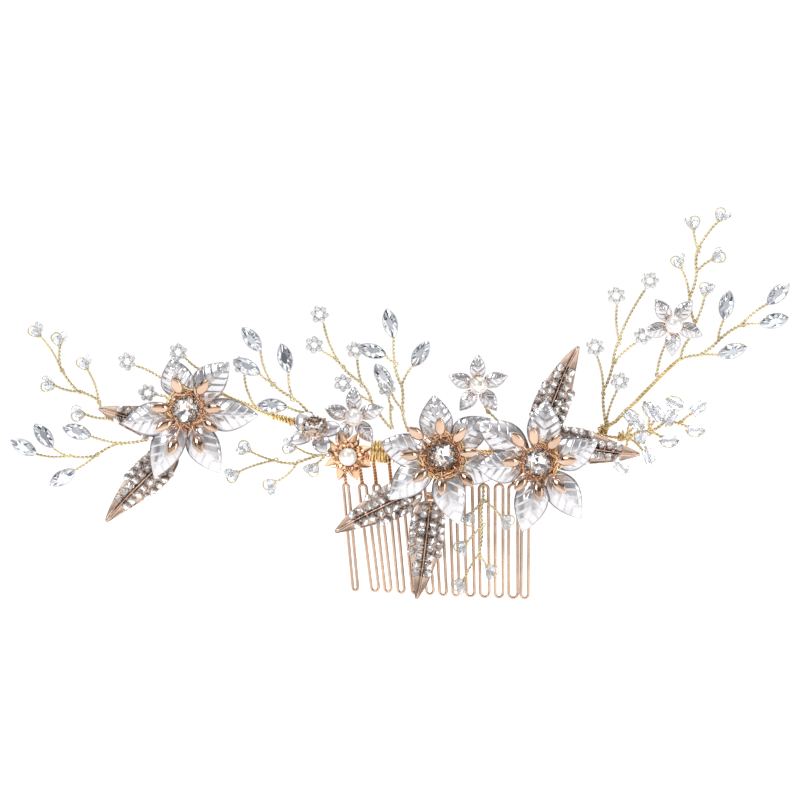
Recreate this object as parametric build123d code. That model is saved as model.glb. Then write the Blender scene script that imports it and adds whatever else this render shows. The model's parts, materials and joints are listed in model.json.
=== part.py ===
"""A bridal hair comb: a wire comb that carries enamelled flowers, pave leaves and beaded wire sprigs.

Millimetres. X runs along the vine, Z is up, and the decorated face looks towards -Y. The comb's teeth
point down. The origin is the middle of the comb's top bar, where the teeth begin.
"""

from build123d import *
import math
import os

# Comb
BAR_DIAMETER = 1.8
TOOTH_WIRE = 1.1
NECK_DIAMETER = 1.6
NECK_LENGTH = 9.0
TOOTH_FOOT = 48.5            # drop from the bar to the foot of a tooth at mid comb
FOOT_SLOPE = 0.045           # extra drop per mm towards +X
COMB_BOW_RADIUS = 160.0      # the comb curves back at both ends to follow a head
# Each tooth: (x at the neck, x at the foot, spacing of its two legs)
TEETH = [(-33, -28.5, 1.8), (-27.5, -21.5, 2.6), (-22.5, -17, 2.2), (-17, -12.5, 2.2), (-12, -7.5, 2.4),
         (-6.5, -2.5, 2.4), (-0.5, 2, 2.4), (5, 6.5, 2.2), (10.5, 11.5, 2.8), (16, 16.5, 3.2),
         (21.5, 21.5, 2.8), (26.5, 26.5, 3.2), (31, 30.5, 2.6)]

# Wire stem and its two bending places
STEM_DEPTH = -2.2
STEM_DIAMETER = 1.6
LEFT_BEND_X = -59.0
RIGHT_BEND_X = 56.0
BEND_GAP = 0.4               # clear length between the wires on the two sides of a bending place
TWIG_DIAMETER = 0.8
TRUNK_DIAMETER = 1.0
BINDING_WIRE = 0.5

# Beads and stones
MARQUISE = (10.2, 5.0, 2.4)  # length, width, thickness
CRYSTAL_RADIUS = 2.1
CRYSTAL_LENGTH = 4.6
BEAD_CLEARANCE = 0.25        # between a twig's end and its bead
SEED_PEARL = 2.1
SEED_RING = 4.3              # diameter of the circle through the six seed pearls' centres
PEARL = 6.2
TUBE_BEAD = (5.0, 3.5, 1.0)  # length, diameter, bore
PAVE_STONE = 2.7
PAVE_PITCH = 2.9             # from stone to stone along a row
PAVE_ROWS = (1.95, 4.7)      # the rows' distances from the midrib
PAVE_GIRDLE = 0.92           # height of a stone's widest part above the leaf

# Flowers
PETAL_THICKNESS = 0.6
PETAL_ROOT = 3.6             # radius where a big flower's petals begin
STONE_RADIUS = 4.6
STAMEN_HEAD = (7.0, 3.6)
STAMEN_ROOT = 5.7            # radius where the stamens leave the setting
STAMEN_LEAN = 20
STALK_DIAMETER = 0.9

# Each big flower: centre (x, y, z), then its petals as (direction in degrees, reach, lean forward)
LEFT_FLOWER = ((-86.5, -7, 16.5),
               [(106, 19, 12), (49, 22, 4), (-4, 24.5, -2), (-63, 24.5, 2), (-116, 26, 2), (-169, 23, 4)])
MIDDLE_FLOWER = ((1.5, -7, 1),
                 [(98, 21, 4), (37, 21, -7), (-20, 21, -7), (-77, 24.5, 3), (-140, 24, 3), (169, 22, 3)])
RIGHT_FLOWER = ((34, -11, -1.5),
                [(82, 22, 3), (17, 21.5, 3), (-52, 24.5, 3), (-102, 24.5, 3), (184, 21, 7), (146, 25, 2)])
# Each stamen: (direction in degrees, distance of its head from the middle)
LEFT_STAMENS = [(111, 8.2), (54, 10.2), (4, 8.6), (-33, 10.2),
                (-70, 13.0), (-110, 14.0), (-146, 8.9), (175, 7.8)]
MIDDLE_STAMENS = [(140, 12.5), (95, 10.4), (50, 8.6), (6, 9.4),
                  (-45, 12.2), (-92, 11), (-138, 10.7), (180, 11.7)]
RIGHT_STAMENS = [(131, 11), (99, 9.6), (52, 8.4), (5, 10.4), (-47, 11), (-89, 9.8), (-130, 9), (178, 9)]

LEAF_WIDTH = 13.8
LEAF_PLATE = 0.9
# Each pave leaf: tip (x, z), root (x, z) and the depth of its back
LEAVES = {
    "pave_leaf_far_left": ((-117.5, 16.5), (-86, 9), -3.4),
    "pave_leaf_lower_left": ((-115.5, -21.5), (-91.5, 2.5), -3.4),
    "pave_leaf_comb_left": ((-36, -25), (-6, -10.5), -3.4),
    "pave_leaf_comb_middle": ((-6.5, -49), (-2.5, -15), -3.4),
    "pave_leaf_upper_right": ((47.5, 39), (35, 7), -4.4),
    "pave_leaf_lower_right": ((69.5, 0.5), (37, 6), -7.0),
}

# Sprigs. trunk: (x, z) points from the free end to the root. twigs: (index of the trunk point, far end,
# sideways bow). A marquise twig names the stone's middle and its long axis in degrees instead.
CRYSTAL_SPRIGS = {
    "left": [dict(depth=-2.4,
                  trunk=[(-131, 31), (-125, 23), (-118, 20), (-114.5, 13.5), (-101, 6.5)],
                  twigs=[(0, (-138, 42), -0.6), (0, (-131.3, 38.7), 0.4), (1, (-133, 25), 0.5),
                         (2, (-121.7, 30.5), -0.7), (3, (-122.5, 15), 0.4)])],
    "centre": [dict(depth=-2.4,
                    trunk=[(-57, -1), (-49, -2), (-39, 1)],
                    twigs=[(0, (-65, 2), 0.3), (0, (-69, -5), -0.4), (1, (-56, -8.3), 0.8),
                           (2, (-49, 3.4), 1.0), (2, (-42, -2), 0.2)]),
               dict(depth=-4.5,
                    trunk=[(14.2, -33.5), (15.3, -24), (15.6, -14.5), (15.2, -6)],
                    twigs=[(2, (22, -20.5), 0.3), (2, (12, -19), 0.2), (1, (10.2, -29.5), -0.3),
                           (0, (16.8, -37.3), 0.2), (0, (9, -42.3), -0.4)])],
    "right": [dict(depth=-2.4,
                   trunk=[(90.5, 72.5), (90, 64.5), (87.5, 55.5), (89.5, 46.5), (86.5, 40), (84.5, 34.5)],
                   twigs=[(0, (97.5, 82), 0.5), (0, (89, 79), 0.3), (1, (95.3, 68.7), 0.4),
                          (2, (84.7, 65.7), -0.5), (3, (92.8, 56), -0.4)])],
}
MARQUISE_SPRIGS = {
    "left": [dict(depth=-2.4,
                  trunk=[(-128.5, 0.5), (-119, 0.5), (-110.5, 5), (-100, 6.5)],
                  twigs=[(0, (-144, 3.5), -27, 0.7), (0, (-137, 7.5), -52, 0.4),
                         (1, (-130.5, -7), 31, 0.3), (2, (-125.5, 9), -18, 0.4)])],
    "centre": [dict(depth=-5.6,
                    trunk=[(-57.5, 26), (-50.5, 21), (-45, 15.5), (-42, 11)],
                    twigs=[(0, (-64.5, 41), -52, 0.7), (0, (-66.2, 31.5), -28, 0.3),
                           (1, (-53, 34.5), -76, 0.5), (2, (-57.5, 18), -3, 0.4)]),
               dict(depth=-5.5,
                    trunk=[(-15, 33), (-12.5, 25), (-12.5, 17), (-10, 9)],
                    twigs=[(0, (-16.5, 46.5), -76, 0.3), (0, (-22.8, 37), -17, 0.3),
                           (1, (-6, 36), 58, 0.5), (2, (-19, 28), -60, 0.4)])],
    "right": [dict(depth=-2.4,
                   trunk=[(105.5, 46), (97.5, 40.5), (90.5, 35.5), (84.5, 34)],
                   twigs=[(0, (118.5, 57), 44, 0.5), (0, (117, 47.5), 13, 0.3),
                          (1, (100.5, 53), 79, 0.4), (2, (102.5, 37), 17, 0.3)])],
}
PEARL_SPRIGS = {
    "left": [dict(depth=-1.2, trunk=[(-96, 27.5), (-86, 17)], twigs=[(0, (-105, 31.8), -0.5)]),
             dict(depth=-1.2, trunk=[(-82.5, 30.5), (-84, 17)], twigs=[(0, (-87.6, 34.5), 0.3)]),
             dict(depth=-1.0, trunk=[(-95, 21.5), (-88, 17)], twigs=[(0, (-97.6, 21.9), 0.2)]),
             dict(depth=-1.0, trunk=[(-65.5, 21.5), (-62, 16.5)], twigs=[(0, (-67.3, 28.7), 0.4)])],
    "centre": [dict(depth=-1.6,
                    trunk=[(-33.5, 32), (-26.5, 26), (-23, 19.5), (-16, 10)],
                    twigs=[(0, (-39.7, 46.6), 0.8), (0, (-40.2, 37), -0.4), (1, (-28, 34), 0.3),
                           (2, (-30, 24), 0.4)]),
               dict(depth=0.6, trunk=[(-16.3, 18), (-15.5, 10)], twigs=[(0, (-17, 21), 0.2)])],
    "right": [dict(depth=-2.4,
                   trunk=[(63, 40.5), (61, 32.5), (57.5, 23), (58.5, 11.5)],
                   twigs=[(0, (72.2, 58.4), 0.8), (0, (62.3, 52.8), 0.5), (1, (68.8, 39.8), 0.4),
                          (2, (55.4, 35), -0.6), (3, (62.3, 23.2), 0.5)])],
}
# Tube beads: (middle (x, y, z), axis in degrees, trunk point that its twig leaves)
TUBE_TRUNK = [(58, 7.5), (66, 7.2), (73.5, 9.2), (78.5, 12), (84, 11.8)]
TUBE_BEADS = [((66.8, -5.4, 14), -52, 1), ((69.4, -2.6, 12.6), -52, 1), ((73.8, -2.2, 16.6), -55, 2),
              ((76.4, -3.4, 15.2), -55, 2), ((82.5, -2.2, 18.8), -28, 3), ((80.6, -3.6, 13.6), 62, 3),
              ((90.5, -2.2, 17), 35, 4), ((89.5, -2.2, 9.4), 0, 4), ((80.3, -2.2, 5.8), 0, 2),
              ((70.8, -2.2, 7.4), 75, 1), ((73.4, -1.8, 0.6), -70, 1), ((64, -1.4, -3.4), -40, 1)]

# Small flowers: centre (x, y, z) and the direction of the first petal
PEARL_FLOWERS = {
    "left_pearl_flower": ((-29, -4.6, 14), 90),
    "middle_pearl_flower": ((14, -4, 25), 90),
    "right_pearl_flower": ((81.5, -5, 46), -20),
}
PEARL_FLOWER_REACH = 10.8
GOLD_FLOWER = (-31, -8.4, 0.5)
BUD_FLOWER = (-42.5, -9.4, 9)
BUD_TILT = 22
CUP_FOOT = 1.3               # short post under the cups of the gold flower and the bud


def facing(x, y, z):
    """A work plane at a place, looking out of the decorated face, with its X along +X."""
    return Plane(origin=(x, y, z), x_dir=(1, 0, 0), z_dir=(0, -1, 0))


def group(solids):
    """Several separate solids as one sub-part."""
    return Compound(children=list(solids))


def wire(start, end, bow, diameter):
    """Round wire from start to end, bowed sideways in the decorated face's plane."""
    a, b = Vector(*start), Vector(*end)
    along = (b - a).normalized()
    side = Vector(-along.Z, 0, along.X).normalized()
    path = ThreePointArc(a, (a + b) / 2 + side * bow, b)
    return sweep(Plane(origin=path @ 0, z_dir=path % 0) * Circle(diameter / 2), path=path)


def comb_back(x):
    """How far the bowed comb lies behind the face plane at x."""
    return x * x / (2 * COMB_BOW_RADIUS)


def top_bar():
    """The straight round bar that the teeth hang from, bowed to the head."""
    reach = TEETH[-1][0] + 2
    ends = [Vector(-reach, comb_back(reach), 0), Vector(reach, comb_back(reach), 0)]
    path = ThreePointArc(ends[0], Vector(0, 0, 0), ends[1])
    return sweep(Plane(origin=path @ 0, z_dir=path % 0) * Circle(BAR_DIAMETER / 2), path=path)


def tooth_top(neck_x, foot_x):
    """Where a tooth's wire loop begins, at the foot of its neck."""
    foot_z = -TOOTH_FOOT - FOOT_SLOPE * foot_x
    lean = (foot_x - neck_x) / -foot_z
    return neck_x + lean * NECK_LENGTH, foot_z, math.degrees(math.atan(lean))


def tooth(neck_x, foot_x, spacing):
    """One tooth: a long closed loop of wire with a round shoulder and a round foot."""
    top_x, foot_z, lean = tooth_top(neck_x, foot_x)
    length = -foot_z - NECK_LENGTH
    loop = SlotOverall(length, spacing + TOOTH_WIRE, rotation=90).wire()
    loop = offset(loop, -TOOTH_WIRE / 2).wire()
    path = Pos(0, -length / 2) * loop
    start = path @ 0
    ring = sweep(Plane(origin=start, z_dir=path % 0) * Circle(TOOTH_WIRE / 2), path=path)
    place = Pos(top_x, comb_back(top_x), -NECK_LENGTH) * Rot(0, 0, math.degrees(top_x / COMB_BOW_RADIUS))
    return place * Rot(0, -lean, 0) * Rot(90, 0, 0) * ring


def neck(neck_x, foot_x):
    """The twisted wire between the bar and a tooth's loop."""
    top_x, _, _ = tooth_top(neck_x, foot_x)
    start = (neck_x, comb_back(neck_x), -BAR_DIAMETER / 2)
    return wire(start, (top_x, comb_back(top_x), -NECK_LENGTH + 0.1), 0.05, NECK_DIAMETER)


def binding():
    """Turns of thin wire round the bar and the stem between the teeth, and round the stem at the left."""
    turns = []
    for left, right in zip(TEETH, TEETH[1:]):
        for step in (-1, 0, 1):
            x = (left[0] + right[0]) / 2 + step * BINDING_WIRE * 1.3
            ring = Torus(2.75, BINDING_WIRE / 2)
            turns.append(Pos(x, comb_back(x) - 1.1, 0.9) * Rot(0, 90, 0) * ring)
    for step in range(9):
        place = Pos(-57.4 + step * 1.05, STEM_DEPTH, 14.3 - step * 0.26) * Rot(0, 75, 0)
        turns.append(place * Torus(1.3, 0.35))
    for step in range(3):
        turns.append(Pos(-2.2, -3.6, -12.2 - step * 0.9) * Torus(1.5, 0.35))
    return group(turns)


def stem_through(points):
    """A run of stem wire through (x, y, z) points, as straight lengths that meet end to end."""
    return group(wire(a, b, 0.15, STEM_DIAMETER) for a, b in zip(points, points[1:]))


def centre_stem():
    """The bundled stem along the front of the bar, from one bending place to the other."""
    half_gap = BEND_GAP / 2
    return stem_through([(LEFT_BEND_X + half_gap, STEM_DEPTH, 14.8), (-48, STEM_DEPTH, 12.2),
                         (-34, STEM_DEPTH + 1.4, 3), (0, STEM_DEPTH, 1.9), (33, STEM_DEPTH + 1.4, 2),
                         (44, STEM_DEPTH, 4.5), (RIGHT_BEND_X - half_gap, STEM_DEPTH, 8.4)])


def left_stem():
    """The stem from the left bending place, behind the left flower, to the sprigs' roots."""
    return stem_through([(LEFT_BEND_X - BEND_GAP / 2, STEM_DEPTH, 15), (-66, STEM_DEPTH, 18.5),
                         (-75, STEM_DEPTH, 22), (-86, STEM_DEPTH, 15.5), (-100, STEM_DEPTH, 6.8)])


def right_stem():
    """The stem from the right bending place up to the right-hand sprigs."""
    return stem_through([(RIGHT_BEND_X + BEND_GAP / 2, STEM_DEPTH, 8.6), (62, STEM_DEPTH, 12.5),
                         (69, STEM_DEPTH, 19.5), (77, STEM_DEPTH, 27.5), (84.5, STEM_DEPTH, 34.4)])


def petal(length, width, rise):
    """A leaf-shaped petal along +X from the origin, pressed to a shallow arch."""
    side = ThreePointArc((0, 0), (length * 0.48, width / 2), (length, 0))
    outline = make_face([side, mirror(side, about=Plane.XZ)])
    radius = (length ** 2 / 4 + rise ** 2) / (2 * rise)
    slab = Pos(0, 0, -2) * extrude(outline, amount=rise + 3)
    arch = Cylinder(radius, width * 2) - Cylinder(radius - PETAL_THICKNESS, width * 2)
    return slab & (Pos(length / 2, 0, rise - radius) * Rot(90, 0, 0) * arch)


def flower_petals(flower):
    """The six enamelled petals of a big flower."""
    centre, petals = flower
    parts = []
    for direction, reach, lean in petals:
        blade = petal(reach - PETAL_ROOT, 10.8, 2.6)
        place = Rot(0, 0, direction) * Pos(PETAL_ROOT, 0, 0) * Rot(0, -lean, 0)
        parts.append(facing(*centre) * place * blade)
    return group(parts)


def stamen(stalk, length, width):
    """One stamen along +X: a thin stalk and a spindle-shaped head, turned in one piece."""
    radius, tip = STALK_DIAMETER / 2, 0.3
    bulge = ThreePointArc((stalk, radius), (stalk + length * 0.5, width / 2), (stalk + length, tip))
    profile = Polyline((stalk + length, tip), (stalk + length, 0), (0, 0), (0, radius), (stalk, radius))
    return revolve(make_face([bulge, profile]), Axis.X)


def flower_stamens(flower, stamens):
    """The gilt spoon-headed stamens that stand round a big flower's stone."""
    length, width = STAMEN_HEAD
    parts = []
    for direction, middle in stamens:
        piece = stamen(max(middle - length / 2 - STAMEN_ROOT, 0.3), length, width)
        place = Rot(0, 0, direction) * Pos(STAMEN_ROOT, 0, 4.3) * Rot(0, -STAMEN_LEAN, 0)
        parts.append(facing(*flower[0]) * place * piece)
    return group(parts)


def flower_setting(flower):
    """A big flower's post, stone cup and six claws, in one piece."""
    cup_floor, cup_rim, post_back = 1.2, 4.5, 2.4
    post = Pos(0, 0, (cup_floor - post_back) / 2) * Cylinder(3.2, cup_floor + post_back)
    cup = Pos(0, 0, (cup_floor + cup_rim) / 2) * Cylinder(4.9, cup_rim - cup_floor)
    hollow = Pos(0, 0, (cup_floor + cup_rim) / 2 + 0.4) * Cylinder(4.4, cup_rim - cup_floor)
    claws = [Rot(0, 0, 60 * k) * Pos(5.06, 0, 4.6) * Cylinder(0.4, 2.6) for k in range(6)]
    return facing(*flower[0]) * (post + (cup - hollow) + claws)


def brilliant(radius, crown, pavilion, sides):
    """A cut stone: a tapered crown on a deeper tapered pavilion, girdle at the origin."""
    girdle = RegularPolygon(radius, sides)
    return extrude(girdle, amount=crown, taper=45) + extrude(girdle, amount=-pavilion, taper=50)


def flower_stone(flower):
    return facing(*flower[0]) * Pos(0, 0, 4.72) * brilliant(STONE_RADIUS, 1.5, 2.9, 16)


def leaf_frame(leaf):
    """A work plane at a leaf's root with its X towards the tip, and the leaf's length."""
    tip, root, depth = LEAVES[leaf]
    along = Vector(tip[0] - root[0], 0, tip[1] - root[1])
    return Plane(origin=(root[0], depth, root[1]), x_dir=along, z_dir=(0, -1, 0)), along.length


def leaf_half_width(share):
    """Half the leaf's width at a share of its length from the root: blunt there, with a long narrow tip."""
    return LEAF_WIDTH / 2 * math.sin(math.pi * share ** 0.6) ** 0.9


def leaf_plate(leaf):
    """The cast leaf: a flat plate with a midrib and a long plain tip."""
    plane, length = leaf_frame(leaf)
    shares = (0.05, 0.15, 0.3, 0.45, 0.6, 0.78, 0.9)
    upper = [(0, 0)] + [(length * s, leaf_half_width(s)) for s in shares] + [(length, 0)]
    edge = Spline(*upper)
    plate = extrude(make_face([edge, mirror(edge, about=Plane.XZ)]), amount=LEAF_PLATE)
    rib = Pos(1.5, 0, LEAF_PLATE) * Rot(0, 90, 0) * Cylinder(
        0.5, length - 2.5, align=(Align.CENTER, Align.CENTER, Align.MIN))
    return plane * (plate + rib)


def leaf_stones(leaves):
    """The pave stones of several leaves, in rows on both sides of each midrib."""
    stones = []
    for leaf in leaves:
        plane, length = leaf_frame(leaf)
        for side in (-1, 1):
            for row, offset_y in enumerate(PAVE_ROWS):
                start = 2.0 + row * PAVE_PITCH / 2
                for step in range(int((length * 0.82 - start) / PAVE_PITCH) + 1):
                    x = start + step * PAVE_PITCH
                    if offset_y + PAVE_STONE * 0.4 > leaf_half_width(x / length):
                        continue
                    stone = brilliant(PAVE_STONE / 2, 0.45, 0.9, 8)
                    stones.append(plane * Pos(x, side * offset_y, LEAF_PLATE + PAVE_GIRDLE) * stone)
    return group(stones)


def star_flower(centre, first, count, reach, width, hub):
    """A small stamped flower: pointed petals joined by a round hub."""
    body = Pos(0, 0, -0.3) * Cylinder(hub, PETAL_THICKNESS)
    for k in range(count):
        blade = petal(reach - hub * 0.7, width, 1.1)
        body += Rot(0, 0, first + 360 / count * k) * Pos(hub * 0.7, 0, 0) * blade
    return facing(*centre) * body


def pearl_on(centre, height):
    """A round pearl standing in front of a small flower."""
    return facing(*centre) * Pos(0, 0, height) * Sphere(PEARL / 2)


def gold_flower_cup():
    """The inner bowl that holds the gold flower's pearl."""
    bowl = Cylinder(4.2, 2.6) - Pos(0, 0, 0.5) * Cylinder(3.6, 2.6)
    foot = Pos(0, 0, 0.67) * Cylinder(2.3, CUP_FOOT)
    return facing(*GOLD_FLOWER) * (Pos(0, 0, 2.6) * bowl + foot)


def bud_frame():
    return facing(*BUD_FLOWER) * Rot(-BUD_TILT, 0, 0)


def bud_petals():
    """Four round pearly petals round the bud's stone, two large above and two small below."""
    body = Pos(0, 0, -0.6) * Cylinder(3.4, PETAL_THICKNESS * 2)
    for direction, reach, width in ((128, 8.6, 7), (14, 8.8, 5), (204, 8.8, 4.6), (-62, 8.2, 5.4)):
        body += Rot(0, 0, direction) * Pos(2.6, 0, 0) * petal(reach - 2.6, width, 1.2)
    return bud_frame() * body


def bud_setting():
    """The bud's gilt cup with its row of claws."""
    cup = Cylinder(4.2, 3) - Pos(0, 0, 0.6) * Cylinder(3.7, 3)
    claws = [Rot(0, 0, 45 * k) * Pos(4.15, 0, 1.8) * Cylinder(0.35, 2) for k in range(8)]
    foot = Pos(0, 0, 0.67) * Cylinder(2.3, CUP_FOOT)
    return bud_frame() * (Pos(0, 0, 2.8) * (cup + claws) + foot)


def bud_stone():
    return bud_frame() * Pos(0, 0, 4.55) * brilliant(3.75, 1.3, 1.9, 16)


def trunk_points(sprig):
    """The sprig's trunk in space: it runs from its own depth to the stem's depth."""
    trunk = sprig["trunk"]
    steps = len(trunk) - 1
    rise = (STEM_DEPTH - sprig["depth"]) / steps
    return [(x, sprig["depth"] + rise * k, z) for k, (x, z) in enumerate(trunk)]


def trunk_wires(points):
    """The trunk between its branching points, bowed one way and then the other."""
    pairs = enumerate(zip(points, points[1:]))
    return [wire(a, b, 0.4 if k % 2 else -0.4, TRUNK_DIAMETER) for k, (a, b) in pairs]


def twig_end(root, far):
    """A twig's end in space: it stays at the depth of its branching point."""
    return far[0], root[1], far[1]


def sprig_wires(sprig):
    """All wire of a crystal or pearl sprig."""
    points = trunk_points(sprig)
    twigs = [wire(points[k], twig_end(points[k], far), bow, TWIG_DIAMETER) for k, far, bow in sprig["twigs"]]
    return trunk_wires(points) + twigs


def marquise_frame(sprig, twig):
    """A work plane at a marquise's middle, its X along the stone, and the stone's end nearest the twig."""
    points = trunk_points(sprig)
    index, middle, degrees, _ = twig
    root = Vector(*points[index])
    centre = Vector(middle[0], root.Y, middle[1])
    along = Vector(math.cos(math.radians(degrees)), 0, math.sin(math.radians(degrees)))
    if (root - centre).dot(along) > 0:
        along = along * -1
    near = centre - along * (MARQUISE[0] / 2 - 0.1)
    return Plane(origin=centre, x_dir=along, z_dir=(0, -1, 0)), root, near


def marquise_wires(sprig):
    """All wire of a marquise sprig."""
    parts = trunk_wires(trunk_points(sprig))
    for twig in sprig["twigs"]:
        _, root, near = marquise_frame(sprig, twig)
        parts.append(wire(tuple(root), tuple(near), twig[3], TWIG_DIAMETER))
    return parts


def marquise_stone():
    """A boat-shaped stone, faceted above and below its girdle."""
    length, width, thickness = MARQUISE
    shares = (-1, -0.72, -0.38, 0, 0.38, 0.72)
    upper = [(length / 2 * s, width / 2 * (1 - s * s) ** 0.9) for s in shares]
    girdle = make_face(Polyline(upper + [(-x, -y) for x, y in upper], close=True))
    return extrude(girdle, amount=thickness / 2, taper=38) + extrude(girdle, amount=-thickness / 2, taper=38)


def marquises(sprigs):
    """The marquise stones of several sprigs, rolled a little to either side."""
    stones = []
    for sprig in sprigs:
        for k, twig in enumerate(sprig["twigs"]):
            plane, _, _ = marquise_frame(sprig, twig)
            stones.append(plane * Rot(10 if k % 2 else -8, 0, 0) * marquise_stone())
    return group(stones)


def bead_frame(sprig, twig, distance):
    """A work plane beyond a twig's end, with its X along the twig."""
    root = Vector(*trunk_points(sprig)[twig[0]])
    end = Vector(*twig_end(tuple(root), twig[1]))
    along = (end - root).normalized()
    return Plane(origin=end + along * distance, x_dir=along, z_dir=(0, -1, 0))


def crystals(sprigs):
    """One cut crystal bead at each twig's end."""
    beads = []
    for sprig in sprigs:
        for twig in sprig["twigs"]:
            girdle = RegularPolygon(CRYSTAL_RADIUS, 6)
            half = CRYSTAL_LENGTH / 2
            bead = extrude(girdle, amount=half, taper=30) + extrude(girdle, amount=-half, taper=30)
            beads.append(bead_frame(sprig, twig, half + BEAD_CLEARANCE) * Rot(0, 90, 0) * bead)
    return group(beads)


def seed_pearls(sprigs):
    """A ring of six seed pearls at each twig's end."""
    beads = []
    for sprig in sprigs:
        for twig in sprig["twigs"]:
            plane = bead_frame(sprig, twig, (SEED_RING + SEED_PEARL) / 2 + BEAD_CLEARANCE)
            for k in range(6):
                beads.append(plane * Rot(0, 0, 60 * k) * Pos(SEED_RING / 2, 0, 0) * Sphere(SEED_PEARL / 2))
    return group(beads)


def tube_trunk():
    return [(x, STEM_DEPTH, z) for x, z in TUBE_TRUNK]


def tube_bead_wires():
    """The trunk and short twigs that carry the tube beads."""
    points = tube_trunk()
    parts = trunk_wires(points)
    for middle, degrees, index in TUBE_BEADS:
        root = Vector(*points[index])
        centre = Vector(*middle)
        reach = (centre - root).length
        if reach > 3.2:
            end = root + (centre - root) * ((reach - 2.7) / reach)
            parts.append(wire(tuple(root), tuple(end), 0.2, TWIG_DIAMETER))
    return parts


def tube_beads():
    """Short clear glass tubes with a bore."""
    length, diameter, bore = TUBE_BEAD
    bead = Cylinder(diameter / 2, length) - Cylinder(bore / 2, length)
    return group(facing(*middle) * Rot(0, 0, degrees) * Rot(0, 90, 0) * bead
                 for middle, degrees, _ in TUBE_BEADS)


def pearl_flower_stalks():
    """The wires from the middle and right pearl flowers down to the stem."""
    middle = [wire((17, -2.6, 16.5), (26, -2.2, 6.5), 0.5, TWIG_DIAMETER)]
    right = [wire((79.3, -3.4, 40), (76, -3.0, 28), -0.5, TWIG_DIAMETER)]
    return middle, right


def collect():
    """Every sub-part by name."""
    parts = {
        "comb_top_bar": top_bar(),
        "comb_teeth": group(tooth(*row) for row in TEETH),
        "comb_neck_twists": group(neck(row[0], row[1]) for row in TEETH),
        "binding_wire": binding(),
        "centre_stem": centre_stem(),
        "left_stem": left_stem(),
        "right_stem": right_stem(),
    }
    flowers = {"left_flower": (LEFT_FLOWER, LEFT_STAMENS), "middle_flower": (MIDDLE_FLOWER, MIDDLE_STAMENS),
               "right_flower": (RIGHT_FLOWER, RIGHT_STAMENS)}
    for name, (flower, stamens) in flowers.items():
        parts[name + "_petals"] = flower_petals(flower)
        parts[name + "_stamens"] = flower_stamens(flower, stamens)
        parts[name + "_setting"] = flower_setting(flower)
        parts[name + "_stone"] = flower_stone(flower)
    for leaf in LEAVES:
        parts[leaf] = leaf_plate(leaf)
    names = list(LEAVES)
    parts["left_leaf_stones"] = leaf_stones(names[:2])
    parts["centre_leaf_stones"] = leaf_stones(names[2:])
    for name, (centre, first) in PEARL_FLOWERS.items():
        parts[name + "_petals"] = star_flower(centre, first, 5, PEARL_FLOWER_REACH, 6.2, 2.6)
        parts[name + "_pearl"] = pearl_on(centre, PEARL / 2 + 0.02)
    parts["gold_flower_petals"] = star_flower(GOLD_FLOWER, 22, 8, 8.8, 3.9, 4)
    parts["gold_flower_cup"] = gold_flower_cup()
    parts["gold_flower_pearl"] = pearl_on(GOLD_FLOWER, PEARL / 2 + 1.85)
    parts["bud_flower_petals"] = bud_petals()
    parts["bud_flower_setting"] = bud_setting()
    parts["bud_flower_stone"] = bud_stone()
    middle_stalk, right_stalk = pearl_flower_stalks()
    for place in ("left", "centre", "right"):
        crystal = [piece for sprig in CRYSTAL_SPRIGS[place] for piece in sprig_wires(sprig)]
        pearl = [piece for sprig in PEARL_SPRIGS[place] for piece in sprig_wires(sprig)]
        marquise = [piece for sprig in MARQUISE_SPRIGS[place] for piece in marquise_wires(sprig)]
        pearl += {"left": [], "centre": middle_stalk, "right": right_stalk}[place]
        parts[place + "_crystal_wires"] = group(crystal)
        parts[place + "_pearl_wires"] = group(pearl)
        parts[place + "_marquise_wires"] = group(marquise)
        parts[place + "_crystals"] = crystals(CRYSTAL_SPRIGS[place])
        parts[place + "_seed_pearls"] = seed_pearls(PEARL_SPRIGS[place])
        parts[place + "_marquises"] = marquises(MARQUISE_SPRIGS[place])
    parts["tube_bead_wires"] = group(tube_bead_wires())
    parts["tube_beads"] = tube_beads()
    return parts


os.makedirs("parts", exist_ok=True)
for part_name, shape in collect().items():
    export_step(shape, "parts/" + part_name + ".step")
    print(part_name, len(shape.solids()), "solids", round(shape.volume), "mm3")
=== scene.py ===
"""The looks of the hair comb: every visible piece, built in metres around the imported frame."""
import json
import math
import random

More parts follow.
